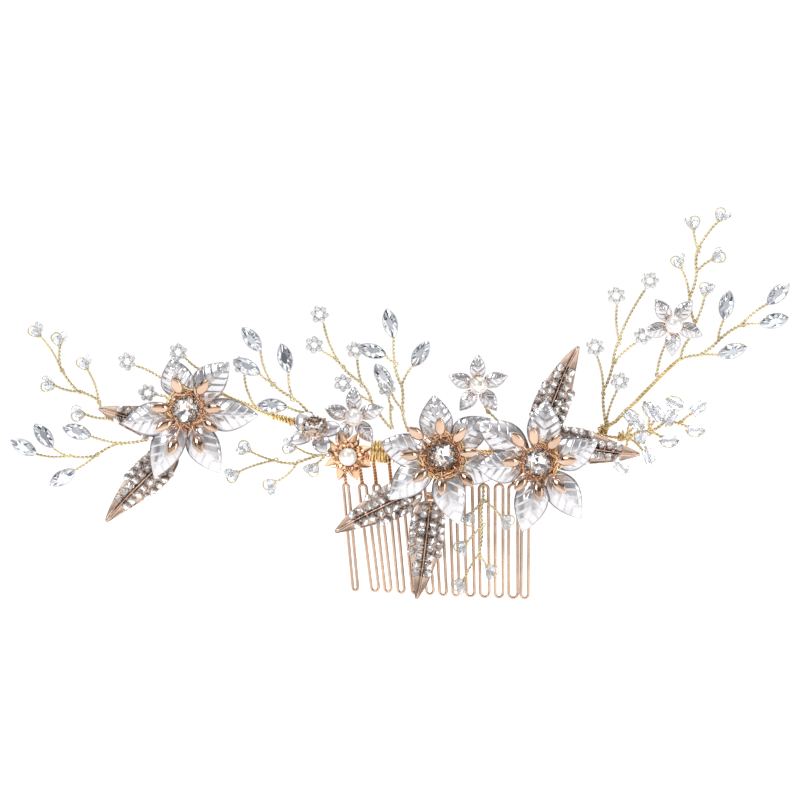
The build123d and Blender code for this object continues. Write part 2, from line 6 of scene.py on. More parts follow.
import bmesh
import bpy
import numpy as np
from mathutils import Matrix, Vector


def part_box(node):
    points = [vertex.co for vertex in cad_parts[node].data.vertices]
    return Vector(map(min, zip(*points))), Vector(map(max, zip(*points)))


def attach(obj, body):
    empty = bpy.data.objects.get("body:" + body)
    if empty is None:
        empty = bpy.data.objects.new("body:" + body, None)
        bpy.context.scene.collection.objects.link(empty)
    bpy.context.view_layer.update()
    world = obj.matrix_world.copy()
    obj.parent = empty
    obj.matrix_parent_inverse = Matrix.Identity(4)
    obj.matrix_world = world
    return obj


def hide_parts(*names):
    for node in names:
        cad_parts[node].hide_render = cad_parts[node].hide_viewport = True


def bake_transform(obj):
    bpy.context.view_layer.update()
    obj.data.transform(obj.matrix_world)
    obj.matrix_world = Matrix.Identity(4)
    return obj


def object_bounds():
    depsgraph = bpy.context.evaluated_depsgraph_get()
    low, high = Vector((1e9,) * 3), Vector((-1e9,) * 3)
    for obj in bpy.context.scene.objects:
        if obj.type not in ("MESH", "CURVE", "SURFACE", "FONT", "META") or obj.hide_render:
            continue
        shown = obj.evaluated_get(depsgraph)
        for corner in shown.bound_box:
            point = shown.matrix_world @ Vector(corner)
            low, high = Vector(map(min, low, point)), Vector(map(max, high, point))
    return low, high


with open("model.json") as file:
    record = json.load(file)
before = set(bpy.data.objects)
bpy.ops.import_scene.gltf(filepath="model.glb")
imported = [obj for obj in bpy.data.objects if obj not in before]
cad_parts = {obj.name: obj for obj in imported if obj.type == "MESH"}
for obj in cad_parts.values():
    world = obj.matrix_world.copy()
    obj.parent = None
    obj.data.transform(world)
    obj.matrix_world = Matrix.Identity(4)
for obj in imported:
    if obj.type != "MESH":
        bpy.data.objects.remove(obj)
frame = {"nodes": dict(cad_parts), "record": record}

CAD_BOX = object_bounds()
MM = 0.001
TAU = 2 * math.pi
rng = random.Random(11)
FACE = np.array((0.0, -1.0, 0.0))       # out of the decorated face
UP = np.array((0.0, 0.0, 1.0))
RIGHT = np.array((1.0, 0.0, 0.0))
BODY = {node: body for body, nodes in frame["record"]["behaviour"]["bodies"].items() for node in nodes}
HINGES = {"left": (-0.059, -0.0022, 0.0149), "right": (0.056, -0.0022, 0.0085)}     # where the side stems bend
TRUNK_RADIUS = 0.00045                  # CAD wires thicker than this are trunks and stems
STONE_RADIUS = 0.00455                  # the big flowers' stones
BUD_STONE_RADIUS = 0.0037
PAVE_RADIUS = 0.00142
SEED_PEARL_RADIUS = 0.00122
TUBE_RADIUS, TUBE_BORE = 0.00192, 0.00058
STEM_PITCH = 0.0042                     # one turn of the stems' three strands


# ---------------------------------------------------------------- reading the frame

def node_islands(node):
    """The vertices of each separate solid of a CAD node, as arrays in metres."""
    mesh = frame["nodes"][node].data
    points = np.empty(len(mesh.vertices) * 3, np.float32)
    mesh.vertices.foreach_get("co", points)
    points = points.reshape(-1, 3).astype(float)
    edges = np.empty(len(mesh.edges) * 2, np.int32)
    mesh.edges.foreach_get("vertices", edges)
    keys, welded = np.unique(np.round(points * 1e6).astype(np.int64), axis=0, return_inverse=True)
    welded = welded.reshape(-1)
    a, b = welded[edges.reshape(-1, 2)].T
    label = np.arange(len(keys))
    while True:
        low = np.minimum(label[a], label[b])
        new = label.copy()
        np.minimum.at(new, a, low)
        np.minimum.at(new, b, low)
        new = new[new]
        if np.array_equal(new, label):
            break
        label = new
    places = keys / 1e6
    return [places[label == k] for k in np.unique(label)]


def node_points(node):
    return np.vstack(node_islands(node))


def middle_of(points):
    return (points.max(0) + points.min(0)) / 2


def box_of(node):
    """Low corner, high corner and middle of a node's box."""
    low, high = (np.array(c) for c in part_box(node))
    return low, high, (low + high) / 2


def unit(v):
    v = np.asarray(v, float)
    return v / max(np.linalg.norm(v), 1e-12)


def axes_of(points):
    """A solid's three axes, longest first."""
    return np.linalg.svd(points - points.mean(0), full_matrices=False)[2]


def wire_rings(points):
    """Centres of the rings of vertices along one CAD wire, and the wire's radius."""
    t = points @ axes_of(points)[0]
    order = np.argsort(t)
    cuts = np.where(np.diff(t[order]) > 0.00015)[0] + 1
    rings = [g for g in np.split(points[order], cuts) if len(g) > 8]
    centres = np.array([g.mean(0) for g in rings])
    radius = np.median([np.linalg.norm(g - g.mean(0), axis=1).mean() for g in rings])
    return centres, radius


def chains(node):
    """A wire node's solids as centrelines: thick lengths that meet end to end become one, thin ones stay apart."""
    lines = [wire_rings(p) for p in node_islands(node)]
    thick = [l for l in lines if l[1] > TRUNK_RADIUS]
    done = []
    while thick:
        line, radius = thick.pop()
        joined = True
        while joined:
            joined = next(((k, mine, theirs) for k, (other, _) in enumerate(thick)
                           for mine in (line, line[::-1]) for theirs in (other, other[::-1])
                           if np.linalg.norm(mine[-1] - theirs[0]) < 0.0002), None)
            if joined:
                k, mine, theirs = joined
                line = np.vstack([mine, theirs[1:]])
                thick.pop(k)
        done.append((line, radius))
    return done, [l for l in lines if l[1] <= TRUNK_RADIUS]


# ---------------------------------------------------------------- mesh building

def face_outwards(mesh):
    """Turns every smooth closed shell's faces outwards; cut facets are already turned."""
    shape = bmesh.new()
    shape.from_mesh(mesh)
    bmesh.ops.recalc_face_normals(shape, faces=[f for f in shape.faces if f.smooth])
    shape.to_mesh(mesh)
    shape.free()


class Piece:
    """Collects surfaces, then becomes one mesh object."""

    def __init__(self):
        self.points, self.faces, self.slots, self.smooth, self.values = [], [], [], [], {}
        self.count = 0

    def add(self, points, faces, slot=0, smooth=True, **values):
        """faces is a list of arrays, each of equal-sided faces; values are one number for each point or for all."""
        for f in faces:
            self.faces.append(np.asarray(f, np.int64) + self.count)
            self.slots.append(np.full(len(f), slot))
            self.smooth.append(np.full(len(f), smooth))
        for name in set(values) | set(self.values):
            old = self.values.setdefault(name, [np.zeros(self.count)])
            old.append(np.broadcast_to(np.asarray(values.get(name, 0.0), float), (len(points),)).copy())
        self.points.append(np.asarray(points, float))
        self.count += len(points)

    def build(self, name, body, materials, slot, replaces=()):
        mesh = bpy.data.meshes.new(name)
        sizes = np.concatenate([np.full(len(f), f.shape[1]) for f in self.faces])
        loops = np.concatenate([f.ravel() for f in self.faces])
        mesh.vertices.add(self.count)
        mesh.vertices.foreach_set("co", np.vstack(self.points).ravel())
        mesh.loops.add(len(loops))
        mesh.loops.foreach_set("vertex_index", loops.astype(np.int32))
        mesh.polygons.add(len(sizes))
        mesh.polygons.foreach_set("loop_start", np.concatenate([[0], np.cumsum(sizes)[:-1]]).astype(np.int32))
        mesh.polygons.foreach_set("material_index", np.concatenate(self.slots).astype(np.int32))
        mesh.polygons.foreach_set("use_smooth", np.concatenate(self.smooth).astype(bool))
        for key, lists in self.values.items():
            layer = mesh.attributes.new(key, "FLOAT", "POINT")
            layer.data.foreach_set("value", np.concatenate(lists).astype(np.float32))
        mesh.update(calc_edges=True)
        mesh.validate()
        face_outwards(mesh)
        for coat in materials:
            mesh.materials.append(coat)
        piece = bpy.data.objects.new(name, mesh)
        bpy.context.scene.collection.objects.link(piece)
        if body:
            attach(piece, body)
        if replaces:
            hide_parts(*replaces)
        return piece


def grid_faces(rows, columns, wrap=False):
    """Quads over a grid of points, row after row; wrap joins the last column to the first."""
    r = np.arange(rows - 1)[:, None]
    c = np.arange(columns if wrap else columns - 1)[None, :]
    d = (c + 1) % columns
    return np.stack([r * columns + c, r * columns + d, (r + 1) * columns + d, (r + 1) * columns + c], -1).reshape(-1, 4)


def plate_faces(rows, columns):
    """Faces of a closed plate: a grid of points, and the same grid again below it."""
    n = rows * columns
    sheet = grid_faces(rows, columns)
    edge_a = np.arange(rows) * columns
    edge_b = edge_a + columns - 1
    end_a, end_b = np.arange(columns), np.arange(columns) + n - columns
    walls = [np.stack([e[:-1], e[1:], e[1:] + n, e[:-1] + n], -1)[:, ::f] for e, f in
             ((edge_a, 1), (edge_b, -1), (end_a, -1), (end_b, 1))]
    return [sheet[:, ::-1], sheet + n, np.vstack(walls)]


def resample(line, step):
    """Even points along a smooth curve through the given ones."""
    line = np.asarray(line, float)
    keep = np.concatenate([[True], np.linalg.norm(np.diff(line, axis=0), axis=1) > 1e-5])
    line = line[keep]
    padded = np.vstack([2 * line[0] - line[1], line, 2 * line[-1] - line[-2]])
    dense = []
    for p0, p1, p2, p3 in zip(padded, padded[1:], padded[2:], padded[3:]):
        t = np.linspace(0, 1, 12, endpoint=False)[:, None]
        dense.append(0.5 * (2 * p1 + (p2 - p0) * t + (2 * p0 - 5 * p1 + 4 * p2 - p3) * t ** 2
                            + (3 * p1 - p0 - 3 * p2 + p3) * t ** 3))
    dense = np.vstack(dense + [line[-1:]])
    along = np.concatenate([[0], np.cumsum(np.linalg.norm(np.diff(dense, axis=0), axis=1))])
    count = max(int(along[-1] / step), 3)
    even = np.linspace(0, along[-1], count + 1)
    return np.stack([np.interp(even, along, dense[:, k]) for k in range(3)], -1), even


def spaced(count):
    """Angles spaced evenly round one turn."""
    return np.arange(count) * TAU / count


def orbit(t, a, b, r=1.0, axis=FACE, h=0.0):
    """Offsets from a middle at angles t: r out in the plane of a and b, and h along the axis."""
    t, r, h = (x[..., None] for x in np.broadcast_arrays(t, r, h))
    return r * (np.cos(t) * a + np.sin(t) * b) + h * axis


def plane_of(axis, hint):
    """An axis at unit length, and two directions square to it and to each other."""
    axis = unit(axis)
    a = unit(np.cross(axis, hint))
    return axis, a, np.cross(axis, a)


def placed(points, origin, x, z):
    """Local points set at an origin with the given X and Z directions."""
    x, z = unit(x), unit(z)
    y = unit(np.cross(z, x))
    x = np.cross(y, z)
    return np.asarray(origin) + points @ np.stack([x, y, z])


def side_frames(line, closed=False):
    """Two directions across a line at each of its points, turning as little as they can."""
    if closed:
        tangent = np.roll(line, -1, 0) - np.roll(line, 1, 0)
    else:
        tangent = np.gradient(line, axis=0)
    tangent /= np.maximum(np.linalg.norm(tangent, axis=1), 1e-12)[:, None]
    start = FACE if abs(tangent[0] @ FACE) < 0.9 else UP
    first = np.empty_like(line)
    normal = unit(start - tangent[0] * (start @ tangent[0]))
    for k, t in enumerate(tangent):
        normal = unit(normal - t * (normal @ t))
        first[k] = normal
    return first, np.cross(tangent, first)


def skin(piece, rings, slot=0, closed=False, **values):
    """A surface through rings of points, capped at both ends or joined end to end."""
    count, sides = rings.shape[:2]
    points = rings.reshape(-1, 3)
    last = (count - 1) * sides + np.arange(sides)
    if closed:
        # the ring turns a little round the loop, so each last vertex joins the nearest first one
        shift = int(np.argmin(np.linalg.norm(points[:sides] - points[last[0]], axis=1)))
        first = (np.arange(sides) + shift) % sides
        ends = [np.stack([last, np.roll(last, -1), np.roll(first, -1), first], -1)]
    else:
        ends = [np.arange(sides)[None, ::-1], last[None, :]]
    piece.add(points, [grid_faces(count, sides, wrap=True)] + ends, slot, **values)


def tube(piece, line, radius, sides=6, slot=0, closed=False):
    """A round wire along a line; radius is one number or one for each point."""
    line = np.asarray(line, float)
    a, b = side_frames(line, closed)
    radius = np.broadcast_to(np.asarray(radius, float), (len(line),))
    skin(piece, line[:, None] + orbit(spaced(sides), a[:, None], b[:, None]) * radius[:, None, None], slot, closed)


def curve(points, step):
    """Even points along a smooth curve, without their distances along it."""
    return resample(points, step)[0]


def clamp(x):
    return np.clip(x, 0, 1)


def twisted(piece, line, strands, wire_radius, pitch, spread, slot=0, ragged=0.00006):
    """Several strands of wire twisted round a centreline that wanders a little between its ends."""
    centre, along = resample(line, pitch / 14)
    a, b = side_frames(centre)
    wave, start = rng.uniform(0, 6), rng.uniform(0, 6.28)
    wander = np.sin(along / 0.0031 + wave)[:, None] * a + np.sin(along / 0.0043 + 2 * wave)[:, None] * b
    ease = clamp(np.minimum(along, along[-1] - along) / 0.002)[:, None]
    centre = centre + ragged * wander * ease
    for k in range(strands):
        tube(piece, centre + orbit(start + along * TAU / pitch + TAU * k / strands, a, b, spread), wire_radius, 6, slot)


def lathe(piece, profile, origin, axis, sides=16, slot=0, flat=1.0, across=FACE, closed=False, **values):
    """A turned shape: profile is a list of (distance along the axis, radius), flattened across one way."""
    along, out = np.asarray(profile, float).T
    turn = spaced(sides)
    local = np.stack([np.repeat(along, sides), np.outer(out, np.cos(turn)).ravel(),
                      np.outer(out, np.sin(turn)).ravel() * flat], -1)
    skin(piece, placed(local, origin, axis, across).reshape(-1, sides, 3), slot, closed, **values)


def ball(piece, centre, radius, slot=0, rings=10, sides=14, squash=1.0, axis=UP, dimple=0.0):
    """A bead: a sphere that may be flattened along its axis, with a drilled dimple at both poles."""
    axis, a, b = plane_of(axis, (0.3, 0.8, 0.52))
    lat = np.linspace(-math.pi / 2, math.pi / 2, rings + 1)[1:-1]
    out = np.cos(lat)[:, None, None] * orbit(spaced(sides), a, b)
    points = centre + radius * (out + (np.sin(lat) * squash)[:, None, None] * axis)
    pole = axis * radius * squash * (1 - dimple)
    n = len(lat) * sides
    c = np.arange(sides)
    d = (c + 1) % sides
    piece.add(np.vstack([points.reshape(-1, 3), [centre - pole, centre + pole]]),
              [grid_faces(len(lat), sides, wrap=True), np.stack([np.full(sides, n), d, c], -1),
               np.stack([np.full(sides, n + 1), n - sides + c, n - sides + d], -1)], slot)


def wobbly_loop(centre, axis, radius, wobble, count):
    """A closed loop of wire round an axis that wanders a little."""
    axis, a, b = plane_of(axis, (0.21, 0.33, 0.92))
    t = spaced(count)
    p, q = rng.uniform(0, 6.28), rng.uniform(0, 6.28)
    r = radius + wobble * (np.sin(3 * t + p) + 0.6 * np.sin(5 * t + q))
    return centre + orbit(t, a, b, r, axis, wobble * np.sin(3 * t + q))


# ---------------------------------------------------------------- materials

class Nodes:
    """A node tree, and the few steps that the surfaces and the room are made from."""

    def __init__(self, tree):
        self.nodes, self.links = tree.nodes, tree.links

    def feed(self, node, inputs):
        """Sets a node's sockets to values or links other nodes' outputs to them."""
        for key, value in inputs.items():
            socket = node.inputs[key]
            if isinstance(value, bpy.types.NodeSocket):
                self.links.new(value, socket)
            else:
                socket.default_value = (*value, 1) if socket.type == "RGBA" else value

    def step(self, kind, output, inputs, **settings):
        """A new node, its sockets fed; returns one of its outputs."""
        node = self.nodes.new("ShaderNode" + kind)
        for key, value in settings.items():
            setattr(node, key, value)
        self.feed(node, inputs)
        return node.outputs[output]

    def noise(self, scale, detail=3.0, stretch=None):
        """A noise fixed to the object; stretch squeezes it along an axis."""
        where = self.step("TexCoord", "Object", {})
        if stretch:
            where = self.step("Mapping", "Vector", {"Vector": where, "Scale": stretch})
        return self.step("TexNoise", "Fac", {"Vector": where, "Scale": scale, "Detail": detail})

    def ramp(self, source, stops):
        """A colour ramp over a value: stops are (place, colour)."""
        node = self.nodes.new("ShaderNodeValToRGB")
        elements = node.color_ramp.elements
        while len(elements) < len(stops):
            elements.new(0.5)
        for element, (place, colour) in zip(elements, stops):
            element.position = place
            element.color = (*colour, 1)
        self.links.new(source, node.inputs["Fac"])
        return node.outputs["Color"]

    def attribute(self, name):
        return self.step("Attribute", "Fac", {}, attribute_name=name)

    def mixed(self, factor, first, second, blend="MIX"):
        """Mixes two colours."""
        return self.step("Mix", 2, {"Factor": factor, 6: first, 7: second}, data_type="RGBA", blend_type=blend)

    def spread(self, source, low, high):
        """A value moved from 0..1 to low..high."""
        return self.step("MapRange", "Result", {"Value": source, "To Min": low, "To Max": high})

    def bump(self, height, strength, distance):
        return self.step("Bump", "Normal", {"Height": height, "Strength": strength, "Distance": distance})


class Look(Nodes):
    """A named Principled material."""

    def __init__(self, name, colour, metallic=0.0, roughness=0.3, coat=0.0, coat_roughness=0.05, clarity=0.0, ior=1.5):
        self.material = bpy.data.materials.new(name)
        self.material.use_nodes = True
        super().__init__(self.material.node_tree)
        self.done({"Base Color": colour, "Metallic": metallic, "Roughness": roughness, "Coat Weight": coat,
                   "Coat Roughness": coat_roughness, "Transmission Weight": clarity, "IOR": ior})

    def done(self, inputs):
        """Feeds the shader and returns the material."""
        self.feed(self.nodes["Principled BSDF"], inputs)
        return self.material


def plated(name, bright, dull, gloss=(0.12, 0.3), grain=2600.0, stretch=None):
    """Plated metal: its colour and gloss drift, with fine draw marks or casting grain."""
    look = Look(name, bright, metallic=1.0)
    drift = look.noise(90.0, 4.0)
    return look.done({"Base Color": look.ramp(drift, [(0.32, dull), (0.62, bright)]),
                      "Roughness": look.spread(drift, *gloss),
                      "Normal": look.bump(look.noise(grain, 2.0, stretch), 0.25, 0.00003)})


def enamel(name, light, deep, groove_shade_colour, bare, edge, metallic):
    """Pearly enamel over stamped metal: painted shade in the dips beside the veins, bare plated metal at the root, and
    a darker colour along the raised rim.
    """
    look = Look(name, light, metallic, 0.24, coat=0.7, coat_roughness=0.08)
    cloud = look.noise(220.0, 4.0)
    colour = look.ramp(cloud, [(0.3, deep), (0.68, light)])
    # painted shade: the first mask darkens the enamel in the dips beside the raised veins, where shade falls
    for key, other in (("groove", groove_shade_colour), ("bare", bare), ("rim", edge)):
        colour = look.mixed(look.attribute(key), colour, other)
    return look.done({"Base Color": colour, "Metallic": look.spread(look.attribute("bare"), metallic, 1.0),
                      "Roughness": look.spread(cloud, 0.13, 0.24),
                      "Normal": look.bump(look.noise(3800.0, 2.0), 0.07, 0.00003)})


def foil_stone(name, stops, metallic=0.75):
    """A cut stone over a foil back: each facet has its own painted reflection, a fixed level between dark and light,
    under a clear polished top.
    """
    look = Look(name, (0.8, 0.8, 0.8), metallic, 0.05, coat=1.0, coat_roughness=0.02)
    flaws = look.noise(900.0, 3.0)
    shade = look.ramp(flaws, [(0.35, (0.82, 0.84, 0.87)), (0.6, (1, 1, 1))])
    # painted reflections: each facet's fixed light level picks a colour between the darkest and the lightest stop
    facet_light_ramp = look.ramp(look.attribute("tone"), stops)
    return look.done({"Base Color": look.mixed(1.0, facet_light_ramp, shade, "MULTIPLY"),
                      "Roughness": look.spread(flaws, 0.03, 0.1)})


def clear_glass(name, colour, roughness, clarity, ior=1.52):
    """Clear cut glass with faint cords and polish marks."""
    look = Look(name, colour, roughness=roughness, clarity=clarity, ior=ior)
    cords = look.noise(700.0, 2.0)
    return look.done({"Base Color": look.ramp(cords, [(0.35, tuple(c * 0.95 for c in colour)), (0.65, colour)]),
                      "Roughness": look.spread(cords, roughness, roughness + 0.06),
                      "Normal": look.bump(cords, 0.12, 0.00006)})


def nacre(name, light, shade, metallic):
    """Pearl coating: soft lustre with slow warm and cool patches."""
    look = Look(name, light, metallic, 0.2, coat=0.5, coat_roughness=0.06)
    slow = look.noise(240.0, 3.0)
    bright = tuple(min(c * 1.03, 1) for c in light)
    return look.done({"Base Color": look.ramp(slow, [(0.3, shade), (0.52, light), (0.75, bright)]),
                      "Roughness": look.spread(slow, 0.16, 0.28),
                      "Normal": look.bump(look.noise(2500.0, 2.0), 0.1, 0.00002)})


ROSE_GOLD = plated("rose_gold", (0.62, 0.44, 0.33), (0.42, 0.28, 0.20), (0.05, 0.14))
LEAF_METAL = plated("leaf_metal", (0.62, 0.47, 0.38), (0.38, 0.27, 0.21), (0.14, 0.3))
TOOTH_WIRE = plated("tooth_wire", (0.64, 0.46, 0.35), (0.42, 0.29, 0.21), (0.16, 0.3), 900.0, (6, 6, 0.4))
COPPER = plated("copper_wire", (0.77, 0.49, 0.30), (0.48, 0.25, 0.13), (0.10, 0.22))
GILT_COPPER = plated("gilt_copper", (0.82, 0.54, 0.35), (0.50, 0.28, 0.16), (0.05, 0.14))
GOLD_WIRE = plated("gold_wire", (0.92, 0.71, 0.36), (0.66, 0.44, 0.17), (0.12, 0.24))
SPRIG_WIRE = plated("sprig_wire", (0.76, 0.66, 0.43), (0.45, 0.36, 0.19), (0.12, 0.26))
STEM_WIRE = plated("stem_wire", (0.80, 0.64, 0.36), (0.50, 0.36, 0.16), (0.12, 0.26))
# painted shade: the seats round the pave stones get a darker, duller metal than the leaf, for the shade between the
# stones
SEAT_SHADE_METAL = plated("stone_seat_shade", (0.52, 0.45, 0.41), (0.24, 0.19, 0.17), (0.3, 0.5))
RIM = plated("silver_rim", (0.58, 0.58, 0.60), (0.38, 0.37, 0.38))
PRONG = plated("prong", (0.78, 0.70, 0.64), (0.48, 0.40, 0.36))
# each enamel's fourth colour is the painted shade in the dips beside the veins; the fifth is the darker rim
PEARL_ENAMEL = enamel("pearl_enamel", (0.735, 0.722, 0.73), (0.53, 0.512, 0.525), (0.25, 0.235, 0.245),
                      (0.70, 0.51, 0.41), (0.21, 0.185, 0.195), 0.7)
SILVER_ENAMEL = enamel("silver_enamel", (0.69, 0.68, 0.685), (0.50, 0.48, 0.485), (0.26, 0.23, 0.24),
                       (0.78, 0.60, 0.52), (0.34, 0.30, 0.31), 0.8)
PEARL = nacre("pearl", (0.78, 0.76, 0.74), (0.66, 0.63, 0.62), 0.35)
SEED_PEARL = nacre("seed_pearl", (0.60, 0.60, 0.59), (0.48, 0.49, 0.48), 0.3)
WARM_PEARL = nacre("warm_pearl", (0.78, 0.74, 0.67), (0.66, 0.61, 0.54), 0.35)
CLEAR_STONE = clear_glass("clear_stone", (1.0, 1.0, 1.0), 0.0, 1.0, 1.5)
CRYSTAL = clear_glass("crystal", (0.85, 0.88, 0.93), 0.03, 0.72)
CLEAR_BEAD = clear_glass("clear_bead", (0.92, 0.94, 1.0), 0.02, 0.78)
# the stone stops run from the darkest to the lightest painted facet reflection
MARQUISE_STONE = foil_stone("marquise_stone", [(0.0, (0.05, 0.06, 0.08)), (0.25, (0.28, 0.295, 0.32)),
                                               (0.5, (0.62, 0.64, 0.67)), (1.0, (0.91, 0.92, 0.94))])
PAVE_STONE = foil_stone("pave_stone", [(0.0, (0.05, 0.05, 0.06)), (0.15, (0.34, 0.34, 0.35)),
                                       (0.28, (0.88, 0.89, 0.90)), (1.0, (0.98, 0.98, 0.98))])
FOIL = foil_stone("foil", [(0.0, (0.04, 0.04, 0.05)), (0.22, (0.25, 0.25, 0.27)), (0.32, (0.96, 0.97, 0.98)),
                           (1.0, (1.0, 1.0, 1.0))], 0.95)


# ---------------------------------------------------------------- stones

def brilliant(piece, centre, axis, radius, folds=8, crown=0.36, pavilion=0.6, table=0.55, backed=False):
    """A round brilliant: table, star, kite and girdle facets above, mains below; every facet has its own painted
    reflection, a fixed level between dark and light.

    Heights and the table are shares of the radius. A backed stone is all in slot 0; others have their lower half in 1.
    """
    turn = rng.uniform(0, 6.28)
    n, half = folds, math.pi / folds

    def circle(count, r, z, shift=0.0):
        return orbit(turn + shift + spaced(count), RIGHT, -FACE, r, UP, z)

    rows = [circle(n, table, crown), circle(n, 0.8, crown * 0.55, half), circle(2 * n, 1.0, 0.03),
            circle(2 * n, 1.0, -0.03), circle(n, 0.45, -pavilion * 0.6, half), np.array([(0, 0, -pavilion)])]
    points = placed(np.vstack(rows) * radius, centre, (1, 0, 0.01), axis)
    star, edge, under, mains, culet = np.cumsum([len(r) for r in rows])[:5]
    above, below = [list(range(n))], []
    for k in range(n):
        before, after, edge_after = (k - 1) % n, (k + 1) % n, (2 * k + 2) % (2 * n)
        kite, main, g, low = star + k, mains + k, edge + 2 * k, under + 2 * k
        above += [[k, kite, after], [k, star + before, g, kite], [kite, g, g + 1], [kite, g + 1, edge + edge_after]]
        below += [[low + 1, low, main], [under + edge_after, low + 1, main], [low, mains + before, main],
                  [main, mains + before, culet]]
    above += [[edge + k, under + k, under + (k + 1) % (2 * n), edge + (k + 1) % (2 * n)] for k in range(2 * n)]
    # painted light and shade: a backed stone's table is painted light, its other crown facets lean light, and its lower
    # facets are painted darker
    if backed:
        facets(piece, points, above[:1], low=0.7)
        facets(piece, points, above[1:], lean=0.6)
        facets(piece, points, below, high=0.4)
    else:
        facets(piece, points, above)
        facets(piece, points, below, 1, lean=0.5)


def facets(piece, points, faces, slot=0, low=0.0, high=1.0, lean=0.8):
    """Adds a convex stone's flat faces with their own vertices, so that each facet has one painted reflection level."""
    middle = points.mean(0)
    by_size = {}
    for f in faces:
        by_size.setdefault(len(f), []).append(f)
    for size, group in by_size.items():
        flat = np.array(group)
        corner = points[flat]
        normal = np.cross(corner[:, 1] - corner[:, 0], corner[:, 2] - corner[:, 0])
        inward = ((corner.mean(1) - middle) * normal).sum(1) < 0
        flat[inward] = flat[inward][:, ::-1]
        own = points[flat].reshape(-1, 3)
        # painted reflection: one random light level for each facet between low and high, leaning light when lean is
        # below one
        tone = np.repeat([low + (high - low) * rng.random() ** lean for _ in group], size)
        piece.add(own, [np.arange(len(own)).reshape(-1, size)], slot, smooth=False, tone=tone)


def navette(piece, centre, along, out, length, width, thickness):
    """A boat-shaped cut stone with an inner table outline and facets that meet at both points."""
    count = 14
    t = spaced(count)
    x = np.cos(t)
    outline = np.stack([x, np.sign(np.sin(t)) * clamp(1 - x * x) ** 0.78], -1)

    def row(scale_x, scale_y, z, shift=False):
        o = (outline + np.roll(outline, -1, 0)) / 2 if shift else outline
        return np.stack([o[:, 0] * scale_x * length / 2, o[:, 1] * scale_y * width / 2, np.full(count, z)], -1)

    rows = [row(0.42, 0.45, thickness * 0.5), row(0.74, 0.76, thickness * 0.34, True), row(1, 1, 0.0),
            row(1, 1, -thickness * 0.08), row(0.5, 0.5, -thickness * 0.5)]
    points = placed(np.vstack(rows), centre, along, out)
    star, edge, under, foot = (k * count for k in range(1, 5))
    faces = [list(range(count)), [foot + k for k in range(count)][::-1]]
    for k in range(count):
        j, before = (k + 1) % count, (k - 1) % count
        faces += [[k, star + k, j], [k, star + before, edge + k, star + k], [star + k, edge + k, edge + j],
                  [edge + k, under + k, under + j, edge + j], [under + k, foot + k, foot + j, under + j]]
    facets(piece, points, faces)
    return points[under:foot]


def cut_crystal(piece, centre, axis, radius, length):
    """A small clear bead: a faceted chunk with uneven corners."""
    n = 6
    rows = []
    for h, r in ((-0.5, 0.45), (-0.28, 1.0), (0.28, 0.92), (0.5, 0.4)):
        t = rng.uniform(0, 0.5) + spaced(n)
        uneven = np.array([rng.uniform(0.85, 1.12) for _ in range(n)])
        rows.append(orbit(t, RIGHT, -FACE, r * radius * uneven, UP, h * length))
    across = FACE if abs(unit(axis) @ FACE) < 0.9 else UP
    points = placed(np.vstack(rows), centre, np.cross(axis, across), axis)
    faces = [list(range(n))[::-1], list(range(3 * n, 4 * n))]
    for r in range(0, 3 * n, n):
        for k in range(n):
            j = (k + 1) % n
            faces += [[r + k, r + j, r + n + j], [r + k, r + n + j, r + n + k]]
    facets(piece, points, faces)


# ---------------------------------------------------------------- petals

